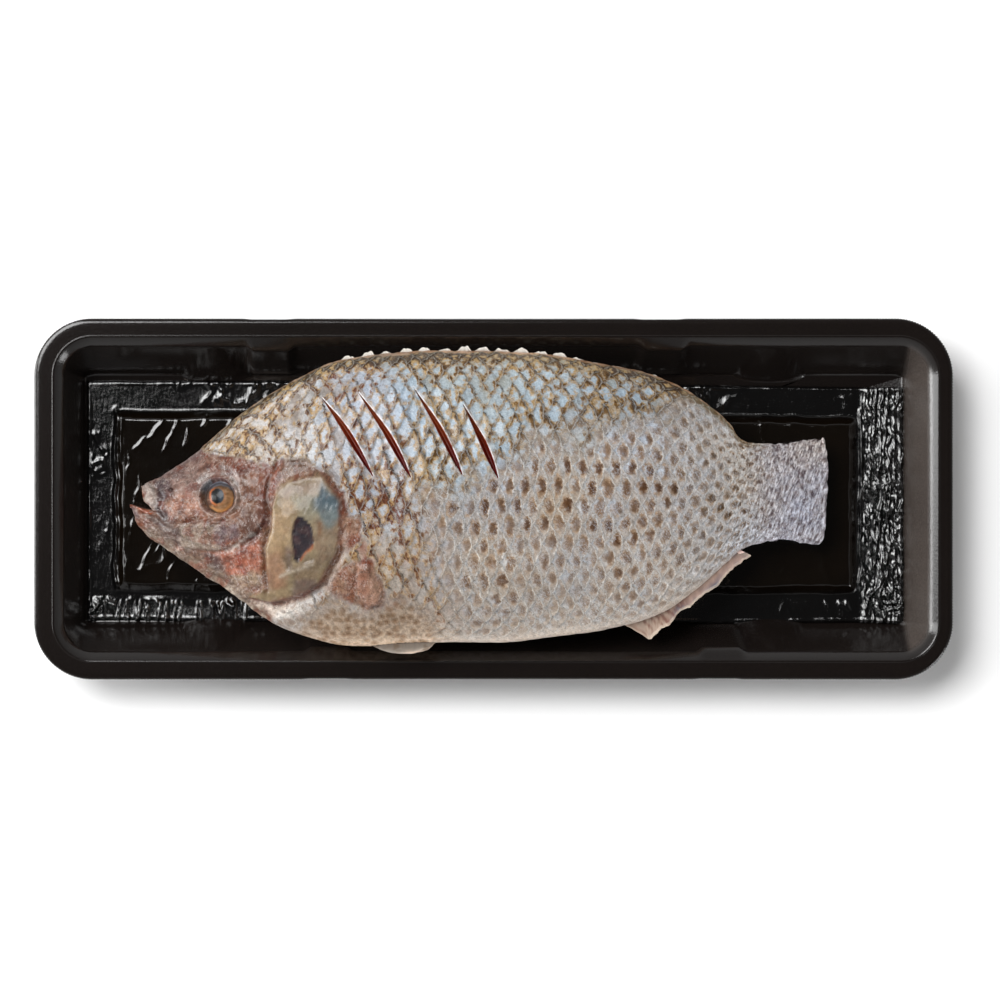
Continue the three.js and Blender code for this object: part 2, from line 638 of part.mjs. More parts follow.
function named(name, geometry, look) {
  const mesh = new THREE.Mesh(geometry, new THREE.MeshStandardMaterial(LOOKS[look]));
  mesh.name = name;
  return mesh;
}

const tray = new THREE.Group();
tray.add(named('tray', trayGeometry(), 'foam'));
tray.add(named('absorbent_pad', padGeometry(), 'film'));

const fish = new THREE.Group();
fish.add(named('tilapia', fishGeometry(), 'skin'));
fish.add(named('eye_left', eyeBall(eyePlaces.left, 0), 'eye'));
fish.add(named('eye_right', eyeBall(eyePlaces.right, 0), 'eye'));

const whole = new THREE.Group();
whole.add(tray, fish);

export default whole;
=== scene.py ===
import math

import bmesh
import bpy
import numpy as np
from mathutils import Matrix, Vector
from mathutils.kdtree import KDTree


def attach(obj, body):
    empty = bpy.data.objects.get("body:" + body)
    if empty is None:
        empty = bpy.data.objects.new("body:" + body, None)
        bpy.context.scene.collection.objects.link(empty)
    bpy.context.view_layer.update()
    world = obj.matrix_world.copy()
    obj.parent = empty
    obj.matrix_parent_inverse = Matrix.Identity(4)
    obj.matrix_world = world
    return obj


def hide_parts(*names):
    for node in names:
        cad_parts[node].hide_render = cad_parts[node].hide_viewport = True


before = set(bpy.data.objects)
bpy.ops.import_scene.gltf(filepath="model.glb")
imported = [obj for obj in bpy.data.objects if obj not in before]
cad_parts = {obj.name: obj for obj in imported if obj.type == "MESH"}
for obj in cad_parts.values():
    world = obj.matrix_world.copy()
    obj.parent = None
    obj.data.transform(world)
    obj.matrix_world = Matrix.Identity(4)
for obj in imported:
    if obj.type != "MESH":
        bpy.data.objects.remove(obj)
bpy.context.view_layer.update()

MM = 0.001

# ---------------------------------------------------------------- camera

PHOTO_PIXELS = 1000
PHOTO_WIDTH = 407.17           # millimetres across the photograph at the height of the tray's rim
RIM_HEIGHT = 25
CAMERA = (2.65, -0.41, 1425)
SENSOR = 36

camera_data = bpy.data.cameras.new("camera")
camera_data.sensor_width = SENSOR
camera_data.lens = SENSOR * (CAMERA[2] - RIM_HEIGHT) / PHOTO_WIDTH
camera = bpy.data.objects.new("camera", camera_data)
camera.location = Vector(CAMERA) * MM
bpy.context.scene.collection.objects.link(camera)
bpy.context.scene.camera = camera
bpy.context.scene.view_settings.view_transform = "Standard"
bpy.context.scene.view_settings.look = "None"


# ---------------------------------------------------------------- the fish's sections

REST_HEIGHT = 8.3              # of the flank that lies pressed on the pad
FLANK_FULLNESS = 0.8           # below 1 the sections are fuller than an ellipse
BELLY_FULLNESS = 0.12          # how much more the belly bulges than the back
SCALE_PITCH = 6.6              # between scales along the fish
SCALE_ROWS = 23                # from the belly to the back

# A point on the back's outline, a point on the belly's, the height of the middle plane, half the
# thickness, and how far the middle of the section bows towards the tail.
STATIONS = [
    (-142.8, 5.3, -147.3, -3.3, 24.2, 4.0, 0), (-139.9, 7.1, -145.6, -8.6, 24.5, 5.6, 0),
    (-134.6, 9.6, -141.5, -14.3, 25.1, 8.2, 0), (-127.6, 14.2, -134.5, -19.5, 25.9, 10.8, 0),
    (-119.3, 19.9, -125.8, -24.8, 26.9, 13.6, 0), (-110.3, 27.6, -116.0, -32.1, 28.1, 16.4, 0),
    (-100.5, 35.5, -107.4, -36.9, 29.2, 19.0, 0), (-89.8, 42.6, -101.2, -41.4, 30.2, 21.0, 0),
    (-77.6, 49.8, -92.2, -48.6, 31.5, 22.9, 0), (-66.2, 55.1, -77.5, -55.1, 32.4, 24.3, 0),
    (-54.0, 57.3, -61.3, -59.1, 33.2, 25.0, 0), (-37.8, 59.1, -43.9, -59.5, 33.5, 25.2, 0),
    (-17.6, 59.9, -21.6, -58.0, 33.5, 24.8, 0), (2.6, 59.9, 4.7, -57.9, 33.1, 23.7, 0),
    (22.9, 58.3, 26.1, -55.5, 32.2, 21.9, 0), (43.2, 54.9, 45.2, -53.1, 30.6, 19.5, 0),
    (60.3, 51.4, 59.5, -49.5, 28.9, 17.0, 0), (75.8, 45.5, 72.6, -43.5, 27.1, 14.2, 0),
    (87.3, 38.3, 85.3, -34.6, 25.0, 11.6, 0), (95.6, 31.4, 95.6, -25.7, 23.3, 9.6, 0),
    (100.1, 25.3, 101.4, -20.6, 22.4, 8.5, 0), (105.5, 23.1, 108.8, -18.2, 21.2, 7.6, 0),
    (119.2, 23.1, 119.2, -16.8, 19.1, 6.2, 0.3), (127.9, 24.4, 127.9, -17.6, 17.6, 4.6, 1.5),
    (134.1, 24.6, 132.5, -18.2, 16.7, 3.0, 3.2),
]

MOUTH_OPENING = [
    (-152, 6), (-143.1, 5.0), (-142.6, 1.8), (-141.8, -1.0), (-139.6, -2.5), (-137.9, -4.5),
    (-142.4, -3.9), (-146.9, -2.4), (-152, -1.5),
]
# The four scores: upper end, middle and lower end of each
CUTS = [
    [(-68.7, 40.5), (-58.8, 27.4), (-47.9, 9.1)],
    [(-53.9, 42.5), (-42.4, 26.1), (-32.8, 8.5)],
    [(-31.4, 43.8), (-21.2, 27.5), (-12.3, 9.5)],
    [(-12.0, 37.6), (-4.4, 23.2), (1.9, 8.2)],
]
CUT_DEPTH = 7
CUT_WIDTH = 2.5


def smooth(value):
    """0 below zero and 1 above one, with a smooth rise between them."""
    part = np.clip(value, 0, 1)
    return part * part * (3 - 2 * part)


def bell(value):
    """1 at zero, falling away smoothly on both sides."""
    return np.exp(-value ** 2)

def spline(points, t):
    """Points at places t, from 0 to 1, on the uniform Catmull-Rom curve through some points."""
    points = np.asarray(points, float)
    last = len(points) - 1
    place = np.clip(t, 0, 1) * last
    k = np.minimum(place.astype(int), last - 1)
    w = (place - k)[..., None]
    before, start = points[np.maximum(k - 1, 0)], points[k]
    end, after = points[k + 1], points[np.minimum(k + 2, last)]
    leave, arrive = (end - before) / 2, (after - start) / 2
    cubic = 2 * (start - end) + leave + arrive
    square = 3 * (end - start) - 2 * leave - arrive
    return ((cubic * w + square) * w + leave) * w + start


def mid_line():
    """Distances along the fish's middle line, and the places on the stations' curve they belong to."""
    t = np.linspace(0, 1, 4001)
    s = spline(STATIONS, t)
    middle = (s[:, 0:2] + s[:, 2:4]) / 2
    steps = np.hypot(*np.diff(middle, axis=0).T)
    return np.concatenate([[0], np.cumsum(steps)]), t


MID_DISTANCES, MID_PLACES = mid_line()
FISH_LENGTH = MID_DISTANCES[-1]


def skin_points(distance, angle):
    """Points of the bare skin. The angle runs from the belly over the left flank to the back, pi."""
    s = spline(STATIONS, np.interp(distance, MID_DISTANCES, MID_PLACES))
    share = (1 - np.cos(angle)) / 2
    side = np.abs(np.sin(angle))
    x = s[..., 2] + (s[..., 0] - s[..., 2]) * share + s[..., 6] * side
    y = s[..., 3] + (s[..., 1] - s[..., 3]) * share
    reach = s[..., 5] * side ** FLANK_FULLNESS * (1 + BELLY_FULLNESS * np.cos(angle))
    upper = np.sin(angle) >= 0
    z = np.where(upper, s[..., 4] + reach, np.maximum(s[..., 4] - reach, REST_HEIGHT))
    return np.stack([x, y, z], -1)


def place_on_body(x, y):
    """The distance along the fish and the angle round it of points seen from above."""
    low, high = np.zeros_like(x), np.ones_like(x)
    for _ in range(30):
        t = (low + high) / 2
        s = spline(STATIONS, t)
        behind = (s[..., 0] - s[..., 2]) * (y - s[..., 3]) - (s[..., 1] - s[..., 3]) * (x - s[..., 2])
        low, high = np.where(behind < 0, t, low), np.where(behind < 0, high, t)
    s = spline(STATIONS, t)
    share = np.clip((y - s[..., 3]) / (s[..., 1] - s[..., 3]), 0, 1)
    return np.interp(t, MID_PLACES, MID_DISTANCES), np.arccos(1 - 2 * share)


def flank_height(x, y, up=1):
    """The height of the left flank (up 1) or the right flank (up -1) over points seen from above."""
    distance, angle = place_on_body(np.asarray(x, float), np.asarray(y, float))
    return skin_points(distance, angle * up)[..., 2]


# ---------------------------------------------------------------- noise, outlines and lines

TABLE_SIDE = 32                # entries along each side of the noise's table
TABLE_START = 100              # the entry that place 0 falls on
OCTAVE_SHIFT = 7.3             # entries by which each finer octave is moved
NOISE_RANGE = 1.6              # brings the noise to between about -1 and 1


def noise(points, size, seed, octaves=3):
    """Smooth noise between about -1 and 1. size is the width of its largest features."""
    table = np.random.default_rng(seed).random((TABLE_SIDE,) * 3) * 2 - 1
    points = np.asarray(points, float)
    sizes = np.ones(3) * size if np.ndim(size) == 0 else np.append(size, [1.0] * (3 - len(size)))
    total = np.zeros(points.shape[:-1])
    strength, whole = 1.0, 0.0
    for octave in range(octaves):
        lows, highs, parts = [], [], []
        for axis in range(points.shape[-1]):
            place = points[..., axis] / sizes[axis] * 2 ** octave + OCTAVE_SHIFT * octave + TABLE_START
            cell = np.floor(place).astype(int)
            lows.append(cell % TABLE_SIDE)
            highs.append((cell + 1) % TABLE_SIDE)
            parts.append(smooth(place - cell))
        layer = table if len(lows) == 3 else table[:, :, octave]
        total += strength * between(layer, lows, highs, parts)
        whole += strength
        strength /= 2
    return total / whole * NOISE_RANGE


def between(table, lows, highs, parts):
    """Values between the entries of a table, worked out along one axis after the other."""
    corners = [()]
    for _ in lows:
        corners = [c + (pick,) for c in corners for pick in (0, 1)]
    values = [table[tuple((lows, highs)[pick][axis] for axis, pick in enumerate(c))] for c in corners]
    for part in reversed(parts):
        values = [a + (b - a) * part for a, b in zip(values[::2], values[1::2])]
    return values[0]


def line_distance(points, line, closed=False):
    """Distance from points to a broken line, and where along it the nearest place is, 0 to 1."""
    line = np.asarray(line, float)
    ends = np.roll(line, -1, 0) if closed else line[1:]
    starts = line if closed else line[:-1]
    best = np.full(len(points), 1e9)
    along = np.zeros(len(points))
    for n, (a, b) in enumerate(zip(starts, ends)):
        run = b - a
        share = np.clip(((points - a) @ run) / max(run @ run, 1e-9), 0, 1)
        distance = np.hypot(*(points - a - share[:, None] * run).T)
        nearer = distance < best
        along = np.where(nearer, (n + share) / len(starts), along)
        best = np.minimum(best, distance)
    return best, along


def inside_by(points, outline):
    """How far points lie inside a closed outline, below zero outside it."""
    outline = np.asarray(outline, float)
    distance, _ = line_distance(points, outline, closed=True)
    x, y = points.T
    inside = np.zeros(len(points), bool)
    for a, b in zip(outline, np.roll(outline, -1, 0)):
        crosses = (a[1] > y) != (b[1] > y)
        rise = b[1] - a[1] if b[1] != a[1] else 1e-9
        inside ^= crosses & (x < a[0] + (y - a[1]) * (b[0] - a[0]) / rise)
    return np.where(inside, distance, -distance)


# ---------------------------------------------------------------- meshes and materials

def linear(colour):
    """A colour as seen on a screen, 0 to 255, as amounts of light from 0 to 1."""
    c = np.asarray(colour, float) / 255
    return np.where(c <= 0.04045, c / 12.92, ((c + 0.055) / 1.055) ** 2.4)


SKY_HEIGHTS = (0.2, 0.85)        # how far up the sky's brightness changes, from 0 to 1
SKY_LEVELS = (0.8, 0.04)         # brightness near the horizon and overhead
SKY_WIDTHS = (-0.8, 0.8)         # where it changes from left to right
SKY_SIDES = (1.15, 0.9)          # share of it at the left and at the right
SKY_LIGHT = 0.34                 # what the sky and the surroundings add on average
FLOOR_HALF = 2500
# Name, place in metres, width and height, and watts
LIGHTS = [
    ("key", (-1.55, 1.45, 3.05), (2.1, 2.1), 166),
    ("side", (-3.0, 0.4, 1.5), (1.0, 1.8), 42),
    ("low", (-2.6, 0.1, 0.6), (1.4, 0.6), 32),
    ("far", (1.2, -0.9, 0.7), (0.5, 0.5), 6),
]


def light_on(normals):
    """How bright a white surface looks, turned each way, where 1 is white in the picture."""
    total = np.full(len(normals), SKY_LIGHT)
    for _, place, _, power in LIGHTS:
        place = np.array(place)
        away = np.linalg.norm(place)
        total += power / (math.pi * away) ** 2 * np.clip(normals @ place / away, 0, 1)
    return total[:, None]


GLOSS = 0.010                    # what the wet surface's gloss adds to every colour
DARKEST = 0.004


def painted(colour, light):
    """The surface colour that looks as wanted under a given light."""
    return np.maximum(colour - GLOSS, DARKEST) / light


def mesh_normals(points, faces):
    """The direction of each point of a mesh, from the faces round it."""
    mesh = bpy.data.meshes.new("for_normals")
    mesh.from_pydata(np.asarray(points).tolist(), [], [list(f) for f in faces])
    turn_out(mesh)
    normals = np.empty(len(points) * 3, np.float32)
    mesh.vertices.foreach_get("normal", normals)
    bpy.data.meshes.remove(mesh)
    return normals.reshape(-1, 3)


def turn_out(mesh):
    """Turns every face of a closed mesh outwards."""
    work = bmesh.new()
    work.from_mesh(mesh)
    bmesh.ops.recalc_face_normals(work, faces=work.faces)
    work.to_mesh(mesh)
    work.free()


def make_object(name, points, faces, material, attributes=None, closed=True):
    """A mesh object from points in mm, with point attributes of one or three numbers."""
    mesh = bpy.data.meshes.new(name)
    mesh.from_pydata((np.asarray(points) * MM).tolist(), [], [list(f) for f in faces])
    mesh.validate()
    mesh.polygons.foreach_set("use_smooth", np.full(len(mesh.polygons), closed))
    for key, values in (attributes or {}).items():
        add_attribute(mesh, key, values)
    mesh.materials.append(material)
    obj = bpy.data.objects.new(name, mesh)
    bpy.context.scene.collection.objects.link(obj)
    if closed:
        turn_out(mesh)
    return obj


def make_painted(name, points, faces, material, colour):
    """A closed mesh object whose points look as painted under the scene's light."""
    light = light_on(mesh_normals(points, faces))
    return make_object(name, points, faces, material, {"face": painted(colour, light)})


def add_attribute(mesh, key, values):
    """One number a point makes a plain attribute, and three make a colour."""
    values = np.asarray(values, np.float32)
    if values.ndim == 1:
        layer = mesh.attributes.new(key, "FLOAT", "POINT")
        layer.data.foreach_set("value", values)
        return
    full = np.ones((len(values), 4), np.float32)
    full[:, : values.shape[1]] = values
    layer = mesh.attributes.new(key, "FLOAT_COLOR", "POINT")
    layer.data.foreach_set("color", full.ravel())


def grid_faces(rows, columns, close_rows=False, close_columns=False, start=0):
    """Four-sided faces of a grid of points that is numbered row by row."""
    i = np.arange(rows if close_rows else rows - 1)
    j = np.arange(columns if close_columns else columns - 1)
    i, j = [a.ravel() for a in np.meshgrid(i, j, indexing="ij")]
    ii, jj = (i + 1) % rows, (j + 1) % columns
    corners = [i * columns + j, ii * columns + j, ii * columns + jj, i * columns + jj]
    return np.stack(corners, 1) + start


def fan_faces(ring, middle, turned=False):
    """Triangles from a closed ring of point numbers to one point."""
    following = np.roll(ring, -1)
    pairs = (following, ring) if turned else (ring, following)
    return np.stack([pairs[0], pairs[1], np.full(len(ring), middle)], 1)


def tube_faces(rings, around):
    """Faces of a row of closed rings of points, and of two last points that close both its ends."""
    ring, middle = np.arange(around), rings * around
    faces = grid_faces(rings, around, close_columns=True).tolist()
    faces += fan_faces(ring, middle, turned=True).tolist()
    return faces + fan_faces(ring + middle - around, middle + 1).tolist()


def unit_ball(rings, around):
    """Points of a ball of radius 1 in rings from +Z to -Z, and its two poles."""
    slope = np.linspace(0, math.pi, rings + 2)[1:-1]
    turn = np.linspace(0, 2 * math.pi, around, endpoint=False)
    slope, turn = np.meshgrid(slope, turn, indexing="ij")
    ball = np.stack([np.sin(slope) * np.cos(turn), np.sin(slope) * np.sin(turn), np.cos(slope)], -1)
    return np.concatenate([ball.reshape(-1, 3), [[0, 0, 1], [0, 0, -1]]])


def arithmetic(operation):
    """A method that works a field out with the numbers or fields that it is given."""
    return lambda field, *others: field.work_out(operation, *others)


class Field:
    """A number in a node tree that plain arithmetic can be done with."""

    def __init__(self, looks, socket):
        self.looks = looks
        self.socket = socket

    def work_out(self, operation, *others):
        node = self.looks.add("ShaderNodeMath", dict(enumerate((self,) + others)), operation=operation)
        return Field(self.looks, node.outputs[0])

    __add__ = __radd__ = arithmetic("ADD")
    __mul__ = __rmul__ = arithmetic("MULTIPLY")
    __sub__ = arithmetic("SUBTRACT")
    fract = arithmetic("FRACT")
    floor = arithmetic("FLOOR")
    size = arithmetic("ABSOLUTE")
    power = arithmetic("POWER")
    below = arithmetic("LESS_THAN")
    smaller = arithmetic("MINIMUM")
    larger = arithmetic("MAXIMUM")

    def __rsub__(self, other):
        return (self * -1) + other

    def step(self, low, high, start=0, end=1):
        """start at low and end at high, with a smooth change between them."""
        inputs = {"Value": self, "From Min": low, "From Max": high, "To Min": start, "To Max": end}
        node = self.looks.add("ShaderNodeMapRange", inputs, interpolation_type="SMOOTHSTEP")
        return Field(self.looks, node.outputs["Result"])

    def near(self, value, width):
        """1 where the field is at a value, down to 0 at a width from it: thin lines, out of noise."""
        return 1 - (self - value).size().step(0.0, width)


def tint(colour, brightness=1.0):
    """A colour seen on a screen as a node's colour, for skin under a light of some brightness."""
    return tuple(linear(colour) / brightness)


class Looks:
    """The node tree of a material or a world, with short ways to add the nodes that they use."""

    def __init__(self, owner, shader="Principled BSDF", **constants):
        self.owner = bpy.data.materials.new(owner) if isinstance(owner, str) else owner
        self.owner.use_nodes = True
        self.tree = self.owner.node_tree
        self.shader = self.tree.nodes[shader]
        for socket, value in constants.items():
            self.shader.inputs[socket.replace("_", " ")].default_value = value

    def add(self, kind, inputs=None, **settings):
        """A node with some settings, and with numbers or other nodes' outputs for its inputs."""
        node = self.tree.nodes.new(kind)
        for key, value in settings.items():
            setattr(node, key, value)
        for key, value in (inputs or {}).items():
            self.feed(node.inputs[key], value)
        return node

    def feed(self, socket, value):
        if isinstance(value, Field):
            value = value.socket
        if isinstance(value, bpy.types.NodeSocket):
            self.tree.links.new(value, socket)
        else:
            socket.default_value = value

    def attribute(self, name, output="Fac"):
        socket = self.add("ShaderNodeAttribute", attribute_name=name).outputs[output]
        return Field(self, socket) if output == "Fac" else socket

    def parts(self, socket):
        return [Field(self, out) for out in self.add("ShaderNodeSeparateXYZ", {0: socket}).outputs]

    def places(self, stretch=(1, 1, 1), turn=0.0):
        """Places on the object in mm, turned about the upright and each axis divided by a stretch."""
        source = self.add("ShaderNodeTexCoord").outputs["Object"]
        inputs = {"Vector": source, "Scale": [MM * s for s in stretch], "Rotation": (0, 0, turn)}
        return self.add("ShaderNodeMapping", inputs, vector_type="TEXTURE").outputs[0]

    def noise(self, size, detail=3, stretch=(1, 1, 1), roughness=0.5, turn=0.0):
        """Noise from 0 to 1 with features of a size in mm, stretched along turned axes."""
        places = self.places(stretch, turn)
        inputs = {"Vector": places, "Scale": 1 / size, "Detail": detail, "Roughness": roughness}
        return Field(self, self.add("ShaderNodeTexNoise", inputs).outputs["Fac"])

    def cells(self, size, stretch=(1, 1, 1), randomness=1.0):
        """Distance to the middle of the nearest of many cells of a size in mm."""
        inputs = {"Vector": self.places(stretch), "Scale": 1 / size, "Randomness": randomness}
        node = self.add("ShaderNodeTexVoronoi", inputs, feature="F1")
        return Field(self, node.outputs["Distance"])

    def random(self, a, b):
        """A random number that is the same all over a cell with the whole numbers a and b."""
        join = self.add("ShaderNodeCombineXYZ", {0: a, 1: b}).outputs[0]
        node = self.add("ShaderNodeTexWhiteNoise", {"Vector": join}, noise_dimensions="3D")
        return Field(self, node.outputs["Value"])

    def mix(self, a, b, share, mode="MIX"):
        a, b = [(*value, 1) if isinstance(value, tuple) else value for value in (a, b)]
        settings = {"data_type": "RGBA", "blend_type": mode, "clamp_factor": True}
        return self.add("ShaderNodeMix", {0: share, 6: a, 7: b}, **settings).outputs[2]

    def layers(self, colour, *layers):
        """A colour with others laid over it, each by its share."""
        for other, share in layers:
            colour = self.mix(colour, other, share)
        return colour

    def shade(self, colour, amount):
        """A colour made lighter or darker by a factor."""
        grey = self.add("ShaderNodeCombineColor", {0: amount, 1: amount, 2: amount}).outputs[0]
        return self.mix(colour, grey, 1.0, mode="MULTIPLY")

    def finish(self, colour, roughness=None, bump=None, bump_height=0.1):
        """Links the material's colour, its roughness and a bump whose full height is in mm."""
        self.feed(self.shader.inputs["Base Color"], colour)
        if roughness is not None:
            self.feed(self.shader.inputs["Roughness"], roughness)
        if bump is not None:
            node = self.add("ShaderNodeBump", {"Distance": bump_height * MM, "Height": bump})
            self.feed(self.shader.inputs["Normal"], node.outputs[0])
        return self.owner


# ---------------------------------------------------------------- features of the head, in pixels

GILL_COVER = [
    (272, 505), (270, 520), (270, 530), (264.6, 548), (265.5, 567), (268, 585), (249, 597),
    (272, 603), (300, 596), (321, 584), (327.5, 571), (337.7, 553), (340.5, 534), (341.4, 519),
    (342.3, 500), (335, 491), (323, 475), (309, 477), (288, 480.7), (279, 488),
]
GILL_GROOVE = [
    (277, 462), (270, 478), (266, 498), (271, 512), (270, 530), (264.6, 548), (265.5, 567), (268, 590),
]
GILL_REAR = [
    (323, 475), (335, 489), (342.3, 500), (341.4, 519), (340.5, 534), (337.7, 553), (327.5, 571),
    (321, 584), (300, 596), (272, 603), (250, 599),
]
CHEEK = [
    (267, 505), (264, 525), (254, 535), (240, 542), (225, 550), (205, 551), (184, 548), (179, 540),
    (185, 527), (204, 520), (236, 514), (248, 500),
]
UPPER_LIP = [(142, 487), (150, 482.5), (154.5, 492), (155.5, 504), (152, 506.5), (145.5, 502), (143, 494)]
LOWER_LIP = [(131.5, 505), (137, 506), (145, 511), (153.5, 513.7)]
LIP_FOLD = [(156, 487), (166, 497), (164, 508), (171, 517), (166, 523), (158, 513), (153, 505)]
LOWER_EDGE = [
    (131, 513), (137, 524), (155.6, 540), (174, 554), (195, 568.5), (216, 584), (228, 588),
    (237, 593), (250, 608), (264.6, 618),
]
SLATE_WINDOW = [
    (300, 516), (311, 525), (314.6, 539), (313.6, 545.5), (301.6, 558.4), (298.8, 561),
    (294.2, 555.7), (292.8, 537), (294.2, 524),
]
PECTORAL = [
    (358, 567), (368, 565), (370.6, 570), (375, 580), (380, 592), (382.5, 599), (377, 605),
    (369, 608), (360, 600), (356, 585),
]
EYE_PIXEL = (218.3, 494.5)
EYE_RING = 18.5
NOSTRIL = (171.7, 489.8)
BARE_HEAD = [
    (120, 480), (170, 462), (196, 446), (206, 452), (240, 457), (262, 466), (282, 458), (306, 459),
    (330, 472), (346, 492), (349, 516), (360, 519), (362, 540), (345, 556), (338, 570), (356, 560),
    (372, 560), (386, 592), (383, 606), (366, 612), (340, 600), (322, 590), (300, 602), (262, 626),
    (120, 560),
]
SMALL_SCALES = [
    (302, 618), (330, 600), (345, 604), (372, 614), (392, 594), (418, 600), (436, 622), (440, 655),
    (330, 655), (292, 634),
]

# Patches of colour on the head: an outline, its colour, how strong it is, and how soft its edge is
PATCHES = [
    ([(150, 481), (163, 474), (180, 462), (200, 449), (203, 460), (184, 472), (168, 482), (158, 488)],
     (98, 87, 94), 0.8, 5),
    ([(160, 484), (178, 470), (203, 460), (206, 478), (197, 498), (172, 498)], (158, 134, 128), 0.8, 5),
    ([(172, 498), (199, 494), (203, 512), (186, 519), (168, 513)], (172, 122, 100), 0.85, 4),
    ([(151, 483), (168, 480), (171, 497), (160, 501)], (84, 72, 80), 0.85, 3),
    (LIP_FOLD, (74, 60, 66), 0.9, 2),
    (UPPER_LIP, (190, 182, 178), 0.9, 2),
    ([(205, 452), (230, 452), (262, 462), (270, 480), (264, 505), (246, 508), (240, 484), (222, 462)],
     (122, 62, 44), 0.95, 8),
    ([(252, 466), (276, 458), (284, 474), (274, 492), (262, 500), (254, 484)], (146, 68, 48), 0.9, 6),
    ([(244, 512), (264, 500), (268, 522), (258, 536), (242, 540)], (108, 72, 60), 0.75, 6),
    ([(134, 508), (152, 514), (160, 521), (150, 531), (140, 526)], (142, 102, 88), 0.8, 3),
    ([(131, 508), (136, 509), (140, 518), (136, 519)], (132, 120, 130), 0.8, 2),
    ([(150, 518), (170, 520), (188, 530), (203, 550), (182, 550), (160, 536)], (118, 108, 107), 0.8, 4),
    ([(137, 526), (160, 533), (185, 551), (212, 560), (240, 584), (258, 596), (262, 620), (225, 592),
      (185, 568), (150, 540)], (150, 139, 128), 0.8, 4),
    ([(181, 526), (205, 523), (220, 525), (222, 547), (200, 550), (183, 545)], (176, 163, 150), 0.85, 3),
    ([(214, 530), (228, 527), (226, 544), (216, 543)], (136, 124, 134), 0.8, 3),
    ([(229, 526), (241, 526), (239, 538), (230, 538)], (131, 117, 128), 0.8, 3),
    ([(236, 510), (262, 506), (264, 524), (252, 531), (240, 526)], (122, 98, 90), 0.7, 5),
    ([(238, 478), (264, 466), (270, 500), (262, 512), (242, 506)], (145, 110, 90), 0.7, 6),
    ([(211, 554), (232, 549), (256, 543), (263, 556), (256, 574), (232, 575), (216, 562)],
     (186, 120, 100), 0.95, 4),
    ([(204, 556), (216, 556), (224, 569), (214, 569)], (104, 88, 88), 0.85, 3),
    ([(228, 575), (256, 573), (262, 584), (242, 586)], (183, 164, 143), 0.85, 4),
    ([(275, 462), (298, 454), (330, 470), (346, 492), (330, 484), (300, 474), (279, 480)],
     (122, 98, 80), 0.75, 5),
    (GILL_COVER, (158, 142, 112), 0.95, 3),
    ([(268, 520), (290, 496), (294, 520), (288, 556), (276, 582), (266, 560)], (180, 152, 118), 0.75, 6),
    ([(304, 560), (332, 545), (334, 572), (312, 588), (292, 592), (286, 578)], (128, 116, 92), 0.75, 6),
    ([(280, 488), (300, 482), (322, 481), (326, 490), (300, 496), (284, 498)], (179, 162, 146), 0.8, 4),
    ([(292, 498), (314, 494), (320, 516), (306, 520)], (158, 154, 134), 0.8, 5),
    ([(315, 524), (338, 526), (334, 556), (318, 562)], (143, 125, 105), 0.8, 5),
    ([(296, 562), (322, 556), (318, 578), (292, 580)], (137, 117, 96), 0.7, 5),
    ([(267, 556), (284, 556), (286, 584), (268, 586)], (166, 128, 103), 0.8, 5),
    ([(286, 548), (292, 548), (294, 568), (288, 568)], (108, 92, 84), 0.8, 3),
    ([(295, 581), (316, 580), (316, 592), (295, 594)], (112, 95, 90), 0.75, 4),
    ([(321, 484), (333, 493), (341, 499), (340.5, 520), (326, 523), (315.5, 502)], (84, 106, 118), 0.95, 5),
    ([(318, 512), (340, 510), (338, 524), (322, 526)], (124, 134, 132), 0.7, 5),
    (SLATE_WINDOW, (52, 48, 54), 1.0, 1.0),
    ([(248, 600), (272, 605), (300, 599), (324, 587), (320, 601), (300, 612), (274, 617)],
     (240, 231, 222), 1.0, 4),
    ([(343, 545), (352, 538), (346, 562), (330, 586), (318, 596), (330, 572), (340, 556)],
     (205, 190, 180), 0.85, 3),
    ([(342, 519), (355, 517), (358, 536), (345, 540)], (184, 153, 133), 0.9, 4),
    ([(348, 536), (366, 538), (378, 556), (366, 568), (350, 562)], (156, 88, 68), 0.8, 5),
    ([(340, 572), (358, 566), (362, 602), (338, 600)], (178, 148, 128), 0.8, 5),
    (PECTORAL, (180, 144, 124), 0.95, 1.5),
    ([(356, 570), (364, 568), (370, 588), (364, 598), (358, 590)], (158, 108, 88), 0.6, 4),
    ([(374, 558), (393, 562), (397, 604), (384, 606)], (158, 126, 109), 0.75, 6),
    ([(394, 530), (401, 530), (401, 573), (395, 573)], (192, 188, 185), 0.9, 2),
]
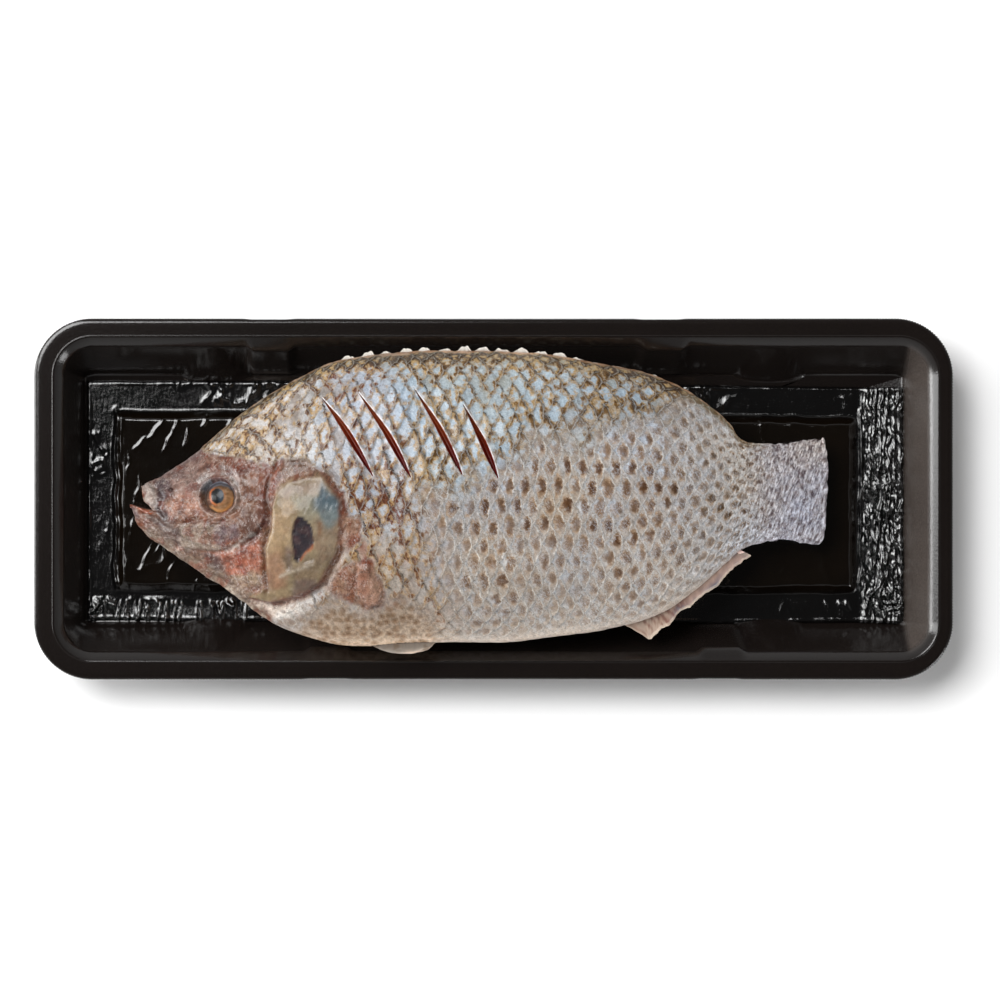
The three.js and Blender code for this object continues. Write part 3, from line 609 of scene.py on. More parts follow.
# Lines of colour on the head: a line, its colour, its strength and its width
STROKES = [
    ([(185, 523), (195, 519.5), (210, 522), (223, 521)], (128, 88, 70), 0.75, 2.6),
    ([(276, 462), (268, 480), (263, 505), (266, 525)], (133, 84, 72), 0.8, 5.5),
    ([(272, 470), (272, 478)], (176, 100, 70), 0.8, 3.5),
    (LOWER_LIP, (198, 98, 52), 0.9, 1.7),
    ([(143, 516), (150, 516)], (225, 210, 205), 0.7, 1.1),
    (LOWER_EDGE, (205, 197, 186), 0.8, 1.6),
    ([(160, 489), (163, 499), (160, 507)], (170, 170, 180), 0.6, 1.2),
    ([(165, 506), (168, 514), (163, 519)], (165, 165, 175), 0.6, 1.2),
    # Two painted highlights along the cheek's lower edge
    ([(225, 549), (236.7, 546)], (244, 238, 234), 1.0, 1.6),
    ([(240.6, 541.4), (254, 534.7)], (244, 238, 234), 1.0, 1.7),
    # A painted shadow under the fold below them
    ([(242, 545), (258, 534), (263, 524)], (84, 56, 54), 0.75, 2.6),
    ([(237.7, 554.8), (240, 564), (243.4, 573)], (160, 76, 64), 0.7, 1.7),
    (GILL_GROOVE, (110, 80, 67), 0.7, 2.0),
    (GILL_REAR, (146, 92, 73), 0.7, 2.6),
    ([(313.6, 545.5), (307, 553), (301.6, 558.4)], (170, 98, 58), 0.9, 1.3),
    ([(281, 576), (300, 568), (315, 563)], (188, 176, 158), 0.8, 1.5),
    ([(320, 524), (321, 533)], (126, 88, 58), 0.7, 2.2),
    ([(180, 512), (180, 515)], (98, 56, 48), 0.8, 2.2),
    ([NOSTRIL, (172, 490)], (86, 60, 58), 0.9, 1.3),
    ([(212, 455), (222, 461), (236, 464), (252, 462)], (138, 104, 84), 0.6, 2.5),
    ([(200, 470), (212, 465), (226, 468), (240, 478)], (134, 96, 80), 0.55, 2.2),
    ([(371, 566), (376, 580), (381, 592), (383, 600), (378, 606)], (228, 192, 168), 0.85, 1.3),
    ([(199, 471), (211, 467), (222, 468), (236, 473)], (92, 56, 44), 0.7, 2.0),
    ([(232, 466), (241, 475), (246, 487), (245, 500)], (96, 62, 52), 0.6, 2.0),
    ([(201, 484), (207, 477), (217, 473.5), (229, 475), (238, 483)], (206, 204, 208), 0.7, 2.2),
    ([(188, 524), (204, 521), (216, 524), (232, 520)], (84, 52, 42), 0.6, 1.8),
    ([(369.5, 522), (369.5, 527)], (150, 62, 62), 0.7, 2),
    ([(384, 524), (384, 529)], (150, 62, 66), 0.7, 2),
    ([(380, 539), (380, 541)], (158, 62, 62), 0.8, 1.8),
    ([(388, 546), (388, 549)], (158, 62, 70), 0.7, 1.6),
    ([(404.7, 528), (404.7, 535)], (150, 62, 62), 0.6, 2),
    ([(406, 554), (405, 564)], (160, 75, 80), 0.6, 1.8),
]


# Speckles of the head: seed, size in pixels, colour and strength
HEAD_SPECKLES = [
    (44, 4.5, (86, 50, 38), 0.32), (45, 5.5, (204, 188, 180), 0.08), (50, 9, (130, 64, 42), 0.55),
    (51, 7, (98, 82, 96), 0.2),
]
# Wrinkles of the head, dark lines of painted shade in the folds and pale lines of painted glints: seed,
# spacing along both axes, sharpness, colour and strength
HEAD_WRINKLES = [
    (46, (9, 5), 10, (70, 38, 30), 0.55), (47, (11, 5), 16, (232, 222, 216), 0.45),
    (52, (5, 7), 12, (92, 54, 42), 0.6),
]


# ---------------------------------------------------------------- the fish's skin

HEAD_END = 62                  # distance along the fish at which the mesh gets coarser
HEAD_STEP = 0.45
BODY_STEP = 0.62
FLANK_COLUMNS = 151
UNDER_COLUMNS = 37
ROUNDING = [(0.25, 0.4), (0.6, 0.28), (0.85, 0.12)]   # thickness left, and reach past the end
SCALE_ROUNDNESS = 1.6
LATTICE_WARP = 0.13            # pitches by which noise bends the scales' lattice
STREAK_TURN, FIBRE_TURN = 0.5, -0.35    # how far streaks and fibres lean from the upright
SCALE_SLOPE = 0.75             # mm that a scale rises over one pitch
EYE_CENTRE = (-110.4, 0.8)
EYE_RADIUS = 6.6
EYE_FLATTENING = 0.7
EYE_DEPTH = 2.2
UNDER_LIMIT = 8.12             # lowest point of the skin, just over the pad
HEAD_PAINT_END = 425           # pixel at which the head's painted patches end
TAIL_FIBRES = 690              # pixel at which the tail's fibres begin


def to_pixels(points):
    """Pixels of the photograph at which points on the object are seen."""
    scale = PHOTO_PIXELS / PHOTO_WIDTH * (CAMERA[2] - RIM_HEIGHT) / (CAMERA[2] - points[..., 2])
    middle = PHOTO_PIXELS / 2
    x = middle + (points[..., 0] - CAMERA[0]) * scale
    return np.stack([x, middle - (points[..., 1] - CAMERA[1]) * scale], -1)


def fish_grid():
    """The bare skin as rings of points, with each point's distance along the fish and its angle."""
    head = np.arange(0, HEAD_END, HEAD_STEP)
    body = np.linspace(HEAD_END, FISH_LENGTH, round((FISH_LENGTH - HEAD_END) / BODY_STEP))
    distance = np.concatenate([head, body])
    left = np.linspace(0, math.pi, FLANK_COLUMNS)
    right = np.linspace(math.pi, 2 * math.pi, UNDER_COLUMNS)[1:-1]
    angle = np.concatenate([left, right])
    distance, angle = np.meshgrid(distance, angle, indexing="ij")
    points = skin_points(distance, angle)
    count = len(ROUNDING)
    front, back = [], []
    for share, reach in ROUNDING:
        for rings, end, way in ((front, 0, -1), (back, -1, 1)):
            ring = points[end].copy()
            middle = ring.mean(0)
            ring[:, 2] = middle[2] + (ring[:, 2] - middle[2]) * share
            ring[:, 0] += way * reach
            rings.append(ring)
    points = np.concatenate([front, points, back[::-1]])
    repeat = [0] * count + list(range(len(distance))) + [-1] * count
    return points, distance[repeat], angle[repeat]


def grid_normals(points):
    along = np.gradient(points, axis=0)
    around = np.roll(points, -1, 1) - np.roll(points, 1, 1)
    normal = np.cross(around, along)
    normal /= np.maximum(np.linalg.norm(normal, axis=-1, keepdims=True), 1e-9)
    flank = normal[len(points) // 2, FLANK_COLUMNS // 2, 2]
    return normal if flank > 0 else -normal


def scale_tiles(column, row):
    """Distance, in pitches, from a place to the rear edge of the scale that it lies on."""
    base = np.floor(row)
    across = row - base
    odd = base % 2

    def edge(offset):
        return 0.5 * (1 - offset ** SCALE_ROUNDNESS) ** (1 / SCALE_ROUNDNESS)
    to_low = (edge(across) + odd / 2 - column) % 1
    to_high = (edge(1 - across) + (1 - odd) / 2 - column) % 1
    return np.minimum(to_low, to_high)


def cut_swell(share):
    """How wide a score is along its length, with 1 where it is widest, below its middle."""
    return np.sin(math.pi * (0.03 + 0.94 * share) ** 1.25) ** 1.15


# Where the skin's zones lie: pixels of the photograph, and shares of the way from belly to back
UPPER_BORDER = [(330, 505), (420, 500), (480, 478), (540, 435), (620, 415), (700, 395), (760, 375)]
NAPE_END, FRONT_END, FRONT_LOW_START, REAR_START, TAIL_START = 335, 440, 520, 640, 735
BELLY_TURN, BACK_TURN, STRIP_TURN = 0.044, 0.828, 0.936
LIP_NARROWER = 0.4             # mm by which a score's white lip is narrower on one side
GAP_RANGE = (-2, 4)            # mm from a score's edge within which the distance to it matters


class Skin:
    """What is known of every point of the fish's skin before the skin gets its relief."""

    def __init__(self):
        grid, distance, angle = fish_grid()
        self.shape = grid.shape[:2]
        self.points = grid.reshape(-1, 3)
        self.normals = grid_normals(grid).reshape(-1, 3)
        self.distance = distance.ravel()
        self.angle = np.where(angle > math.pi, 2 * math.pi - angle, angle).ravel()
        seen_from_above = self.points.copy()
        seen_from_above[:, 2] = skin_points(self.distance, self.angle)[:, 2]
        self.pixels = to_pixels(seen_from_above)
        self.x, self.y = self.pixels.T
        self.flat = self.points[:, :2]
        self.column = self.distance / SCALE_PITCH + LATTICE_WARP * noise(self.flat, 14, 1)
        self.row = self.angle / math.pi * SCALE_ROWS + LATTICE_WARP * noise(self.flat, 14, 2)
        self.row = np.clip(self.row, 0, SCALE_ROWS)
        self.find_zones()

    def find_zones(self):
        """How much each point belongs to the parts of the skin that look different."""
        x, y = self.x, self.y
        wobble = 3 * noise(self.flat, 5, 3)
        self.head = smooth((inside_by(self.pixels, BARE_HEAD) + wobble + 2) / 6)
        small = smooth((inside_by(self.pixels, SMALL_SCALES) + wobble + 7) / 20)
        self.small = small * (1 - self.head)
        self.scaled = (1 - self.head) * (1 - self.small)
        border = np.interp(x, *zip(*UPPER_BORDER))
        border = border + 16 * noise(self.flat, 13, 7) + 7 * noise(self.flat, 4, 8)
        self.upper = smooth((border - y + 22) / 44)
        turn = self.row / SCALE_ROWS
        self.belly = 1 - smooth((turn - BELLY_TURN) / 0.13)
        self.rear = smooth((x - REAR_START) / 80)
        self.tail = smooth((x - TAIL_START) / 45)
        self.nape = smooth((NAPE_END - x) / 40) * self.scaled
        slanted = FRONT_END - x + 0.25 * (y - 480)
        self.front = smooth(slanted / 50) * self.scaled * (1 - self.nape)
        self.front_low = self.front * smooth((y - FRONT_LOW_START) / 36)
        self.back_band = smooth((turn - BACK_TURN) / 0.083) * self.scaled * (1 - self.tail)
        self.back_strip = smooth((turn + 0.022 * noise(self.flat, 6, 9) - STRIP_TURN) / 0.017)
        self.back_strip = self.back_strip * self.scaled * (1 - self.tail)
        gaps = []
        for cut in CUTS:
            line = spline(cut, np.linspace(0, 1, 13))
            away, along = line_distance(self.flat, line)
            run = line[-1] - line[0]
            # Painted shade: the white lip is narrower on the side of each score that lies in shade
            shaded_side = (self.flat - line[0]) @ np.array([-run[1], run[0]]) < 0
            gaps.append(away - CUT_WIDTH / 2 * cut_swell(along) + LIP_NARROWER * shaded_side)
        self.cut_gap = np.clip(np.min(gaps, 0), *GAP_RANGE)


# Ridges and grooves of the head: a line in pixels, its height in mm and its width in pixels
RIDGES = [
    (GILL_GROOVE, -0.9, 3.0), ([(288, 480), (309, 476), (323, 475), (335, 489)], 0.5, 3),
    ([(281, 576), (300, 568), (315, 563)], 0.5, 3), ([(285, 546), (290, 566)], -0.4, 2.5),
    ([(160, 522), (183, 540), (212, 553), (240, 548), (258, 534)], -0.6, 2.5),
    ([(150, 524), (176, 545), (206, 566), (232, 586)], -0.5, 2.2),
    ([(146, 529), (172, 549), (200, 570), (226, 587)], 0.35, 2.2),
    ([(185, 523), (195, 519.5), (210, 522), (226, 521), (240, 512)], -0.5, 2.5),
    ([(200, 478), (208, 466), (222, 463), (238, 470), (246, 484)], 0.55, 4),
    ([(156, 487), (164, 497), (160, 508), (166, 519)], -0.9, 2.4),
    ([(163, 484), (172, 497), (168, 508), (174, 519)], 0.4, 2.6),
    ([(240, 466), (262, 474), (282, 464), (306, 462), (330, 474), (347, 494)], -0.5, 3),
    ([(250, 601), (272, 606), (300, 600), (322, 589), (332, 572), (342, 552)], -1.0, 3.5),
    ([(345, 540), (357, 545), (366, 560)], 0.5, 3), ([(350, 548), (362, 563)], -0.6, 2.5),
]
PLATE_LIFT = 1.3
CHEEK_LIFT = 0.9
LIP_LIFT = 0.7
PECTORAL_LIFT = 2.0


def plate(skin, outline, lift, soft):
    return lift * smooth((inside_by(skin.pixels, outline) + soft * 0.3) / soft)


def turned(points, along, across):
    """Places along two directions at right angles, of which the first is (along, across)."""
    return points @ np.array([[along, -across], [across, along]])


def head_relief(skin):
    """Heights of the head's plates, ridges, folds and pits over the bare skin, in mm."""
    relief = plate(skin, GILL_COVER, PLATE_LIFT, 3) + plate(skin, CHEEK, CHEEK_LIFT, 3)
    relief += plate(skin, UPPER_LIP, LIP_LIFT, 2) - plate(skin, SLATE_WINDOW, 0.45, 2)
    for line, height, width in [*RIDGES, (LOWER_LIP, LIP_LIFT, 2.5)]:
        away, _ = line_distance(skin.pixels, line)
        relief += height * bell(away / width)
    socket = np.hypot(*(skin.flat - EYE_CENTRE).T)
    relief += 0.8 * bell((socket - 7.9) / 0.8) - 1.5 * smooth((7.2 - socket) / 1.2)
    pit = np.hypot(*(skin.pixels - NOSTRIL).T)
    relief += 0.4 * bell((pit - 3.2) / 1.2) - 1.3 * bell(pit / 1.6)
    # The stub of the pectoral fin, with a serrated edge and rays
    in_fin = inside_by(skin.pixels, PECTORAL)
    stub = PECTORAL_LIFT * (0.3 + 0.7 * smooth((skin.x - 352) / 24))
    relief += stub * smooth((in_fin + 0.7 * np.sin(skin.y * 1.7) + 0.4) / 1.6)
    relief += 0.3 * noise(skin.pixels, (40, 3.2), 31, 2) * smooth(in_fin / 3)
    # Folds and lumps of the bare skin, calmer on the gill cover, and long wrinkles along the jaw
    creases = 1 - np.abs(noise(skin.pixels, 7, 32, 3)) * 2
    lumps = noise(skin.pixels, 16, 33, 3)
    calm = 1 - 0.6 * smooth(inside_by(skin.pixels, GILL_COVER) / 6)
    relief += skin.head * calm * (0.22 * np.clip(creases, 0, 1) ** 2 + 0.3 * lumps)
    streaks = 1 - np.abs(noise(turned(skin.pixels, 0.8, 0.6), (26, 3.5), 34, 2)) * 2
    jaw = smooth((skin.y - 0.62 * skin.x - 424) / 12) * smooth((262 - skin.x) / 20)
    return relief + skin.head * jaw * 0.3 * streaks


def body_relief(skin):
    """Heights of the overlapping scales, of the fibres on the tail and of the scores' lips."""
    rear = scale_tiles(skin.column, skin.row)
    share = skin.scaled * (1 - 0.65 * skin.belly) * (1 - 0.7 * skin.tail)
    scales = SCALE_SLOPE * (0.42 - rear) * (smooth(rear / 0.08) * 0.4 + 0.6)
    relief = share * scales * (1 + 0.35 * noise(skin.flat, 9, 4))
    rear = scale_tiles(skin.column * 2.1, skin.row * 2.2)
    relief += skin.small * 0.35 * (0.4 - rear)
    fibres = noise(turned(skin.flat, 0.9, 0.44), (1.6, 6), 5, 3)
    relief += 0.35 * fibres * smooth((skin.x - TAIL_FIBRES) / 80)
    relief += 0.5 * noise(skin.flat, 22, 6, 2) * (1 - skin.head)
    return relief + 0.3 * bell((skin.cut_gap - 0.3) / 0.8)


# ---------------------------------------------------------------- the fish's colours

def blend(colour, share, target):
    """Colours moved towards another colour, or one for each point, by a share for each point."""
    return colour + share[:, None] * (np.asarray(target) - colour)


def layered(colour, *layers):
    """Colours with others, as seen on a screen, laid over them by a share for each point."""
    for share, over in layers:
        colour = blend(colour, share, linear(over))
    return colour


def one_colour(seen, points):
    """The same colour, as seen on a screen, for each of some points."""
    return np.tile(linear(seen), (len(points), 1))


# The scales' colours by zone, where each zone lies over those before it: face, mark, pale crescent. The pale
# colour is partly the scales' own and partly painted light and reflection on the wet scales
FLANK_COLOURS = ((184, 174, 165), (100, 66, 42), (214, 220, 228))
ZONE_COLOURS = {
    "upper": ((166, 170, 166), (112, 78, 38), (182, 198, 210)),
    "front": ((162, 148, 138), (112, 58, 38), (190, 194, 200)),
    "front_low": ((168, 150, 135), (124, 80, 58), (188, 178, 168)),
    "rear": ((180, 174, 170), (88, 67, 49), (220, 223, 228)),
    "belly": ((172, 162, 153), (136, 112, 95), (194, 190, 186)),
    "tail": ((158, 155, 163), (84, 70, 76), (224, 223, 231)),
    "nape": ((162, 148, 136), (100, 60, 42), (222, 218, 215)),
    "back_band": ((116, 98, 70), (78, 54, 30), (150, 148, 136)),
    "small": ((158, 134, 112), (112, 78, 52), (190, 172, 154)),
}
# The bare strip along the back: the darkest and the palest of its fibres, for face and mark
STRIP_COLOURS = [((118, 86, 62), (176, 146, 120)), ((92, 62, 44), (120, 92, 76))]
WARM, COLD = np.array([1.05, 0.99, 0.9]), np.array([0.94, 1.0, 1.09])


def paint_flank(skin):
    """The colours of the scales' faces, of the marks on them and of their pale crescents, which are partly
    painted light.
    """
    layers = [one_colour(seen, skin.x) for seen in FLANK_COLOURS]
    for zone, colours in ZONE_COLOURS.items():
        share = getattr(skin, zone)
        layers = [layered(layer, (share, over)) for layer, over in zip(layers, colours)]
    fibres = np.clip(0.5 + 0.5 * noise(skin.flat, (9, 1.0), 12, 3), 0, 1)
    for k, (dark, light) in enumerate(STRIP_COLOURS):
        layers[k] = blend(layers[k], skin.back_strip, layered(one_colour(dark, fibres), (fibres, light)))
    cool = noise(skin.flat, 26, 11, 3)[:, None]
    cast = np.where(cool > 0, 1 + (COLD - 1) * cool, 1 - (WARM - 1) * cool)
    darker = smooth((skin.x - 560) / 60) * smooth((440 - skin.y) / 30) + 0.5 * smooth((skin.y - 560) / 30)
    return [layer * cast * (1 - 0.2 * darker[:, None]) for layer in layers]


def curved(outline, closed=True):
    """A smooth line through the given points, closed or open."""
    outline = [outline[-1], *outline, *outline[:2]] if closed else outline
    steps = 5 * (len(outline) - 1)
    curve = spline(outline, np.linspace(0, 1, steps + 1))
    return curve[5:-10] if closed else curve


def boxed(points, line, margin):
    """Which of the points lie in the upright box round a line, made larger by a margin."""
    low, high = line.min(0) - margin, line.max(0) + margin
    return np.flatnonzero(((points > low) & (points < high)).all(1))


def paint_patches(colour, pixels):
    """Lays the head's patches and then its lines over the colours."""
    wobble = np.stack([noise(pixels, 11, 41, 4), noise(pixels, 11, 42, 4)], 1)
    for outline, over, strength, soft in PATCHES:
        outline = curved(outline)
        warped = pixels + wobble * min(soft, 3.5)
        near = boxed(warped, outline, soft)
        share = strength * smooth((inside_by(warped[near], outline) + soft) / (soft * 2))
        colour[near] = layered(colour[near], (share, over))
    warped = pixels + wobble * 1.6
    for line, over, strength, width in STROKES:
        line = curved(line, closed=False)
        near = boxed(warped, line, width * 2.2)
        away, _ = line_distance(warped[near], line)
        colour[near] = layered(colour[near], (strength * bell(away / width), over))
    return colour


def paint_head(skin, face):
    """The head's patches and lines of colour, painted over the skin's colour."""
    near = skin.x < HEAD_PAINT_END
    pixels, bare = skin.pixels[near], skin.head[near]
    brown = bare * 0.5 * smooth(noise(pixels, 22, 43))
    colour = layered(face[near], (bare, (150, 110, 90)), (brown, (116, 76, 60)))
    colour = paint_patches(colour, pixels)
    # The globe round the eye: brown, lilac behind, grey-blue with a dark streak above, and a pale ring
    x, y = (pixels - EYE_PIXEL).T
    around = np.hypot(x, y)
    ring = bell((around - EYE_RING - 2.2) / 2.2) * (0.55 + 0.45 * smooth((8 - y) / 20))
    colour = layered(colour, (ring * 0.6, (188, 180, 176)))
    globe = layered(
        one_colour((112, 88, 68), pixels),
        (smooth(x / 12), (134, 122, 124)),
        (smooth((1 - y) / 8), (146, 152, 164)),
        (smooth((x - 1) / 4) * smooth((-9 - y) / 3) * 0.8, (66, 62, 76)),
    )
    colour = blend(colour, smooth((EYE_RING - around) / 3), globe)
    calm = 1 - 0.8 * smooth(inside_by(pixels, GILL_COVER) / 4) - 0.7 * smooth(inside_by(pixels, PECTORAL) / 3)
    for seed, size, over, strength in HEAD_SPECKLES:
        speckles = smooth((noise(pixels, size, seed, 3) - 0.2) / 0.4) * bare
        colour = layered(colour, (speckles * calm * strength, over))
    # The dark wrinkles are painted shade in the folds, the pale ones painted glints
    for seed, size, sharpness, over, strength in HEAD_WRINKLES:
        wrinkles = ridges(pixels + seed, size, seed, sharpness) * bare * calm
        colour = layered(colour, (strength * wrinkles, over))
    uneven = 1 + 0.16 * noise(pixels, 3, 48, 2) + 0.14 * noise(pixels, 14, 49, 2)
    face = face.copy()
    warmer = 1 + (bare * calm)[:, None] * (np.array([1.04, 0.97, 0.9]) - 1)
    face[near] = colour * warmer * blend(np.ones((len(colour), 1)), bare, uneven[:, None])
    return face


def skin_material():
    """Wet skin: scales on the flanks as the lattice places them, and the painted colours elsewhere."""
    looks = Looks("fish_skin", Coat_Weight=0.3, Coat_Roughness=0.1, IOR=1.4, Specular_IOR_Level=0.15)
    column, row, head = looks.parts(looks.attribute("lattice", "Vector"))
    pattern, upper, fibrous = looks.parts(looks.attribute("weights", "Vector"))
    cut_gap, small, bare = looks.parts(looks.attribute("details", "Vector"))
    crescents = looks.attribute("crescents")
    ovals, ochre_cover, edge_shadows = looks.parts(looks.attribute("amounts", "Vector"))
    face, mark, pale = [looks.attribute(name, "Color") for name in ("face", "mark", "pale")]
    fine = looks.noise(0.6, 4, roughness=0.7)
    grain = looks.noise(1.4, 4, roughness=0.6)
    coarse = looks.noise(3.2, 3)
    broad = looks.noise(9, 3)
    streak = looks.noise(1.5, 4, (0.8, 2.6, 1), 0.6, STREAK_TURN)

    def edge(offset):
        return (1 - offset.power(SCALE_ROUNDNESS)).larger(0).power(1 / SCALE_ROUNDNESS) * 0.5
    column = column + (coarse - 0.5) * 0.35 + (grain - 0.5) * 0.25
    row = row + (looks.noise(3.2, 3, (1, 1, 0.7), turn=1.0) - 0.5) * 0.3
    base = row.floor()
    across = row - base
    odd = (base * 0.5).fract()
    low_edge, high_edge = edge(across), edge(1 - across)
    to_low = (low_edge + odd - column).fract()
    to_high = (high_edge + (0.5 - odd) - column).fract()
    rear = to_low.smaller(to_high)
    front = 1 - to_low.larger(to_high)
    in_low = to_low.below(to_high)
    side = across - (1 - in_low)
    from_middle = (low_edge * in_low + high_edge * (1 - in_low)) - rear
    own_column = (column - from_middle + 0.25).floor()
    lot = looks.random(own_column, base - in_low)
    lot_two = looks.random(base + in_low * 3, own_column)

    def ellipse(middle, half_width, half_height, low, high):
        """1 inside an ellipse of the scale's own places, wandering at its edge."""
        along = (from_middle + (grain - 0.5) * 0.25 - middle) * (1 / half_width)
        up = (side + (broad - 0.5) * 0.6 + (fine - 0.5) * 0.35) * (1 / half_height)
        return 1 - (along * along + up * up).step(low, high)

    # Lower flank: a pale crescent, partly painted light that the scale's convex front catches, and behind it
    # an ochre-fringed brown oval with a darker heart
    plain = pattern * (1 - upper)
    crescent = ellipse(-0.2, 0.27, 0.6, 0.4, 1.3) * (0.65 + lot_two * 0.35) * crescents
    fringe = ellipse(0.1, 0.34, 0.52, 0.7, 1.4) * ovals
    oval = ellipse(0.14, 0.25, 0.4, 0.3, 1.3) * ovals * (0.6 + lot * 0.4)
    heart = ellipse(0.18, 0.17, 0.34, 0.1, 1.3) * ovals * lot.step(0.1, 0.8) * streak.step(0.36, 0.6)
    colour = looks.layers(
        face,
        # Pale crescents: partly painted light on the scales' convex fronts
        (pale, crescent * plain),
        (looks.mix(mark, tint((196, 162, 122), 1.4), 0.6), fringe * plain * coarse.step(0.3, 0.6) * 0.75),
        (mark, oval * plain * 0.9),
        (looks.shade(mark, 0.5), heart * plain * 0.8),
    )
    # Upper flank: pale faces, partly painted reflection of the light on the wet scales, ochre patches
    # thickest along the scales' edges, and thin dark lines that are painted shadows of the scales' rear edges
    scaly = upper * pattern
    behind = 1 - rear.step(0.0, 0.5)
    ahead = 1 - front.step(0.0, 0.3)
    clouds = behind * 0.7 + ahead * 0.45 + (coarse - 0.5) * 2.9 + ochre_cover
    gold = (clouds + (grain - 0.5) * 0.8 + (lot - 0.5) * 0.5).step(0.1, 0.8)
    brown = (clouds + (streak - 0.5) * 2.4 + (lot_two - 0.5) * 0.4).step(0.5, 1.0)
    dark = (clouds + (fine - 0.5) * 1.6 + (streak - 0.5) * 2).step(0.95, 1.25)
    # Dark slit-like lines: painted shadows that the scales' rear edges cast
    slit = (1 - rear.step(0.06, 0.2)) * (side + lot_two - 0.5).step(0.0, 0.4) * lot.step(0.25, 0.45)
    colour = looks.layers(
        colour,
        # Pale faces: partly painted reflection of the light on the wet scales
        (pale, scaly * (lot * 0.5 + broad).step(0.35, 0.75)),
        (looks.mix(mark, tint((194, 160, 102), 1.3), 0.66), gold * scaly * 0.9),
        (mark, brown * scaly * 0.9),
        (looks.shade(mark, 0.35), dark * scaly * 0.8),
        (looks.shade(mark, 0.16), slit * edge_shadows * pattern),
    )
    # A pale net along the edges of the scales, the throat's small scales, fibres and torn flecks
    # towards the tail, and the head's thin creases: dark lines of painted shade and pale lines of painted
    # glints
    net = (1 - rear.step(0.03, 0.13)) * (coarse + fine * 0.6).step(0.6, 0.82)
    cells = looks.cells(3.1, (1, 0.85, 1.6), randomness=0.7)
    fibres = looks.noise(1.6, 5, (0.55, 2.0, 1), 0.65, FIBRE_TURN)
    # Painted shade in the head's creases and painted glints beside them
    crease_shade = grain.near(0.5, 0.035) * broad.step(0.35, 0.52)
    shine = streak.near(0.5, 0.026) * coarse.step(0.46, 0.56)
    colour = looks.layers(
        colour,
        (looks.mix(pale, tint((214, 202, 184), 1.3), 0.5), net * pattern * (1 - upper * 0.5) * 0.85),
        (mark, small * (1 - cells.step(0.1, 0.45)) * 0.6),
        (pale, small * cells.step(0.4, 0.7) * 0.75),
        (pale, fibrous * fibres.step(0.51, 0.6) * 0.95),
        (mark, fibrous * (1 - fibres.step(0.38, 0.47)) * 0.9),
        (looks.shade(face, 0.25), crease_shade * head * 0.85),
        (tint((222, 214, 210), 1.2), shine * head * 0.32),
    )
    # Fine unevenness, then threads, scratches, bright flecks that are painted wet glints, and small dark
    # specks on all scaly skin
    uneven = (fine - 0.5) * 1.3 + (grain - 0.5) * 0.9 + (streak - 0.5) * 1.1
    scaled, speckled = 1 - bare, 0.6 - upper * 0.35
    colour = looks.layers(
        looks.shade(colour, 1.0 + uneven * (1 - bare * 0.6)),
        (pale, streak.near(0.5, 0.03) * broad.step(0.38, 0.58) * scaled * 0.5),
        (looks.shade(mark, 0.9), grain.near(0.5, 0.03) * coarse.step(0.46, 0.6) * scaled * 0.5),
        # Bright flecks: painted wet glints
        (pale, fine.step(0.57, 0.68) * broad.step(0.4, 0.6) * scaled * speckled),
        (mark, (1 - fine.step(0.3, 0.42)) * broad.step(0.42, 0.6) * scaled * speckled),
    )
    # White lips of the scores
    lip = (1 - cut_gap.step(0.3, 0.6)) * looks.noise(4, 2).step(0.32, 0.5)
    lip = lip.larger((1 - cut_gap.step(0.4, 2.4)) * (streak * 0.6 + broad * 0.6).step(0.56, 0.72) * 0.8)
    colour = looks.mix(colour, tint((216, 212, 212), 1.3), lip * 0.9)
    rough = 0.5 + (grain - 0.5) * 0.5 - bare * 0.08
    height = grain * 0.6 + fine * 0.45 + fibres * fibrous + net * pattern * 0.3 + cells * small * 0.5
    return looks.finish(colour, rough, height, 0.4)


def flesh_material():
    """Raw flesh in the scores: orange-brown at their upper ends and dark red at the lower ones."""
    looks = Looks("fish_flesh", Coat_Weight=0.1, Coat_Roughness=0.2, IOR=1.4, Specular_IOR_Level=0.2)
    _, height, _ = looks.parts(looks.places())
    colour = looks.mix(tint((186, 98, 52)), tint((128, 20, 8)), height.step(40, 14))
    colour = looks.shade(colour, 0.75 + looks.noise(1.6, 4, (1, 1, 3)) * 0.5)
    return looks.finish(colour, 0.4 + looks.noise(2, 3) * 0.2, looks.noise(1.2, 3), 0.2)


def mouth_material():
    looks = Looks("mouth_lining", Coat_Weight=0.2, IOR=1.4)
    colour = looks.mix(tint((74, 40, 32)), tint((120, 88, 78)), looks.noise(2, 3))
    return looks.finish(colour, 0.4 + looks.noise(2, 3) * 0.2, looks.noise(1, 3), 0.2)


# ---------------------------------------------------------------- cutting the mouth and the scores

MOUTH_HEIGHTS = (0, 70)        # from below the fish to above it
MOUTH_REAR = -0.13             # metres: new faces before this x line the mouth
OVERCUT = 2.5                  # mm that a score's solid stands out over the skin
SIDE_SLACK = 1.35              # its width out there, as a share of the width at the skin
SLIT_HALF_WIDTH = 0.15         # half its width at the bottom
SAME_PLACE = 1e-7


def prism_solid(outline, bottom, top):
    """The points and faces of an upright solid over an outline."""
    count = len(outline)
    points = [(x, y, z) for z in (bottom, top) for x, y in outline]
    sides = [(k, (k + 1) % count, (k + 1) % count + count, k + count) for k in range(count)]
    return points, sides + [tuple(range(count))[::-1], tuple(range(count, 2 * count))]


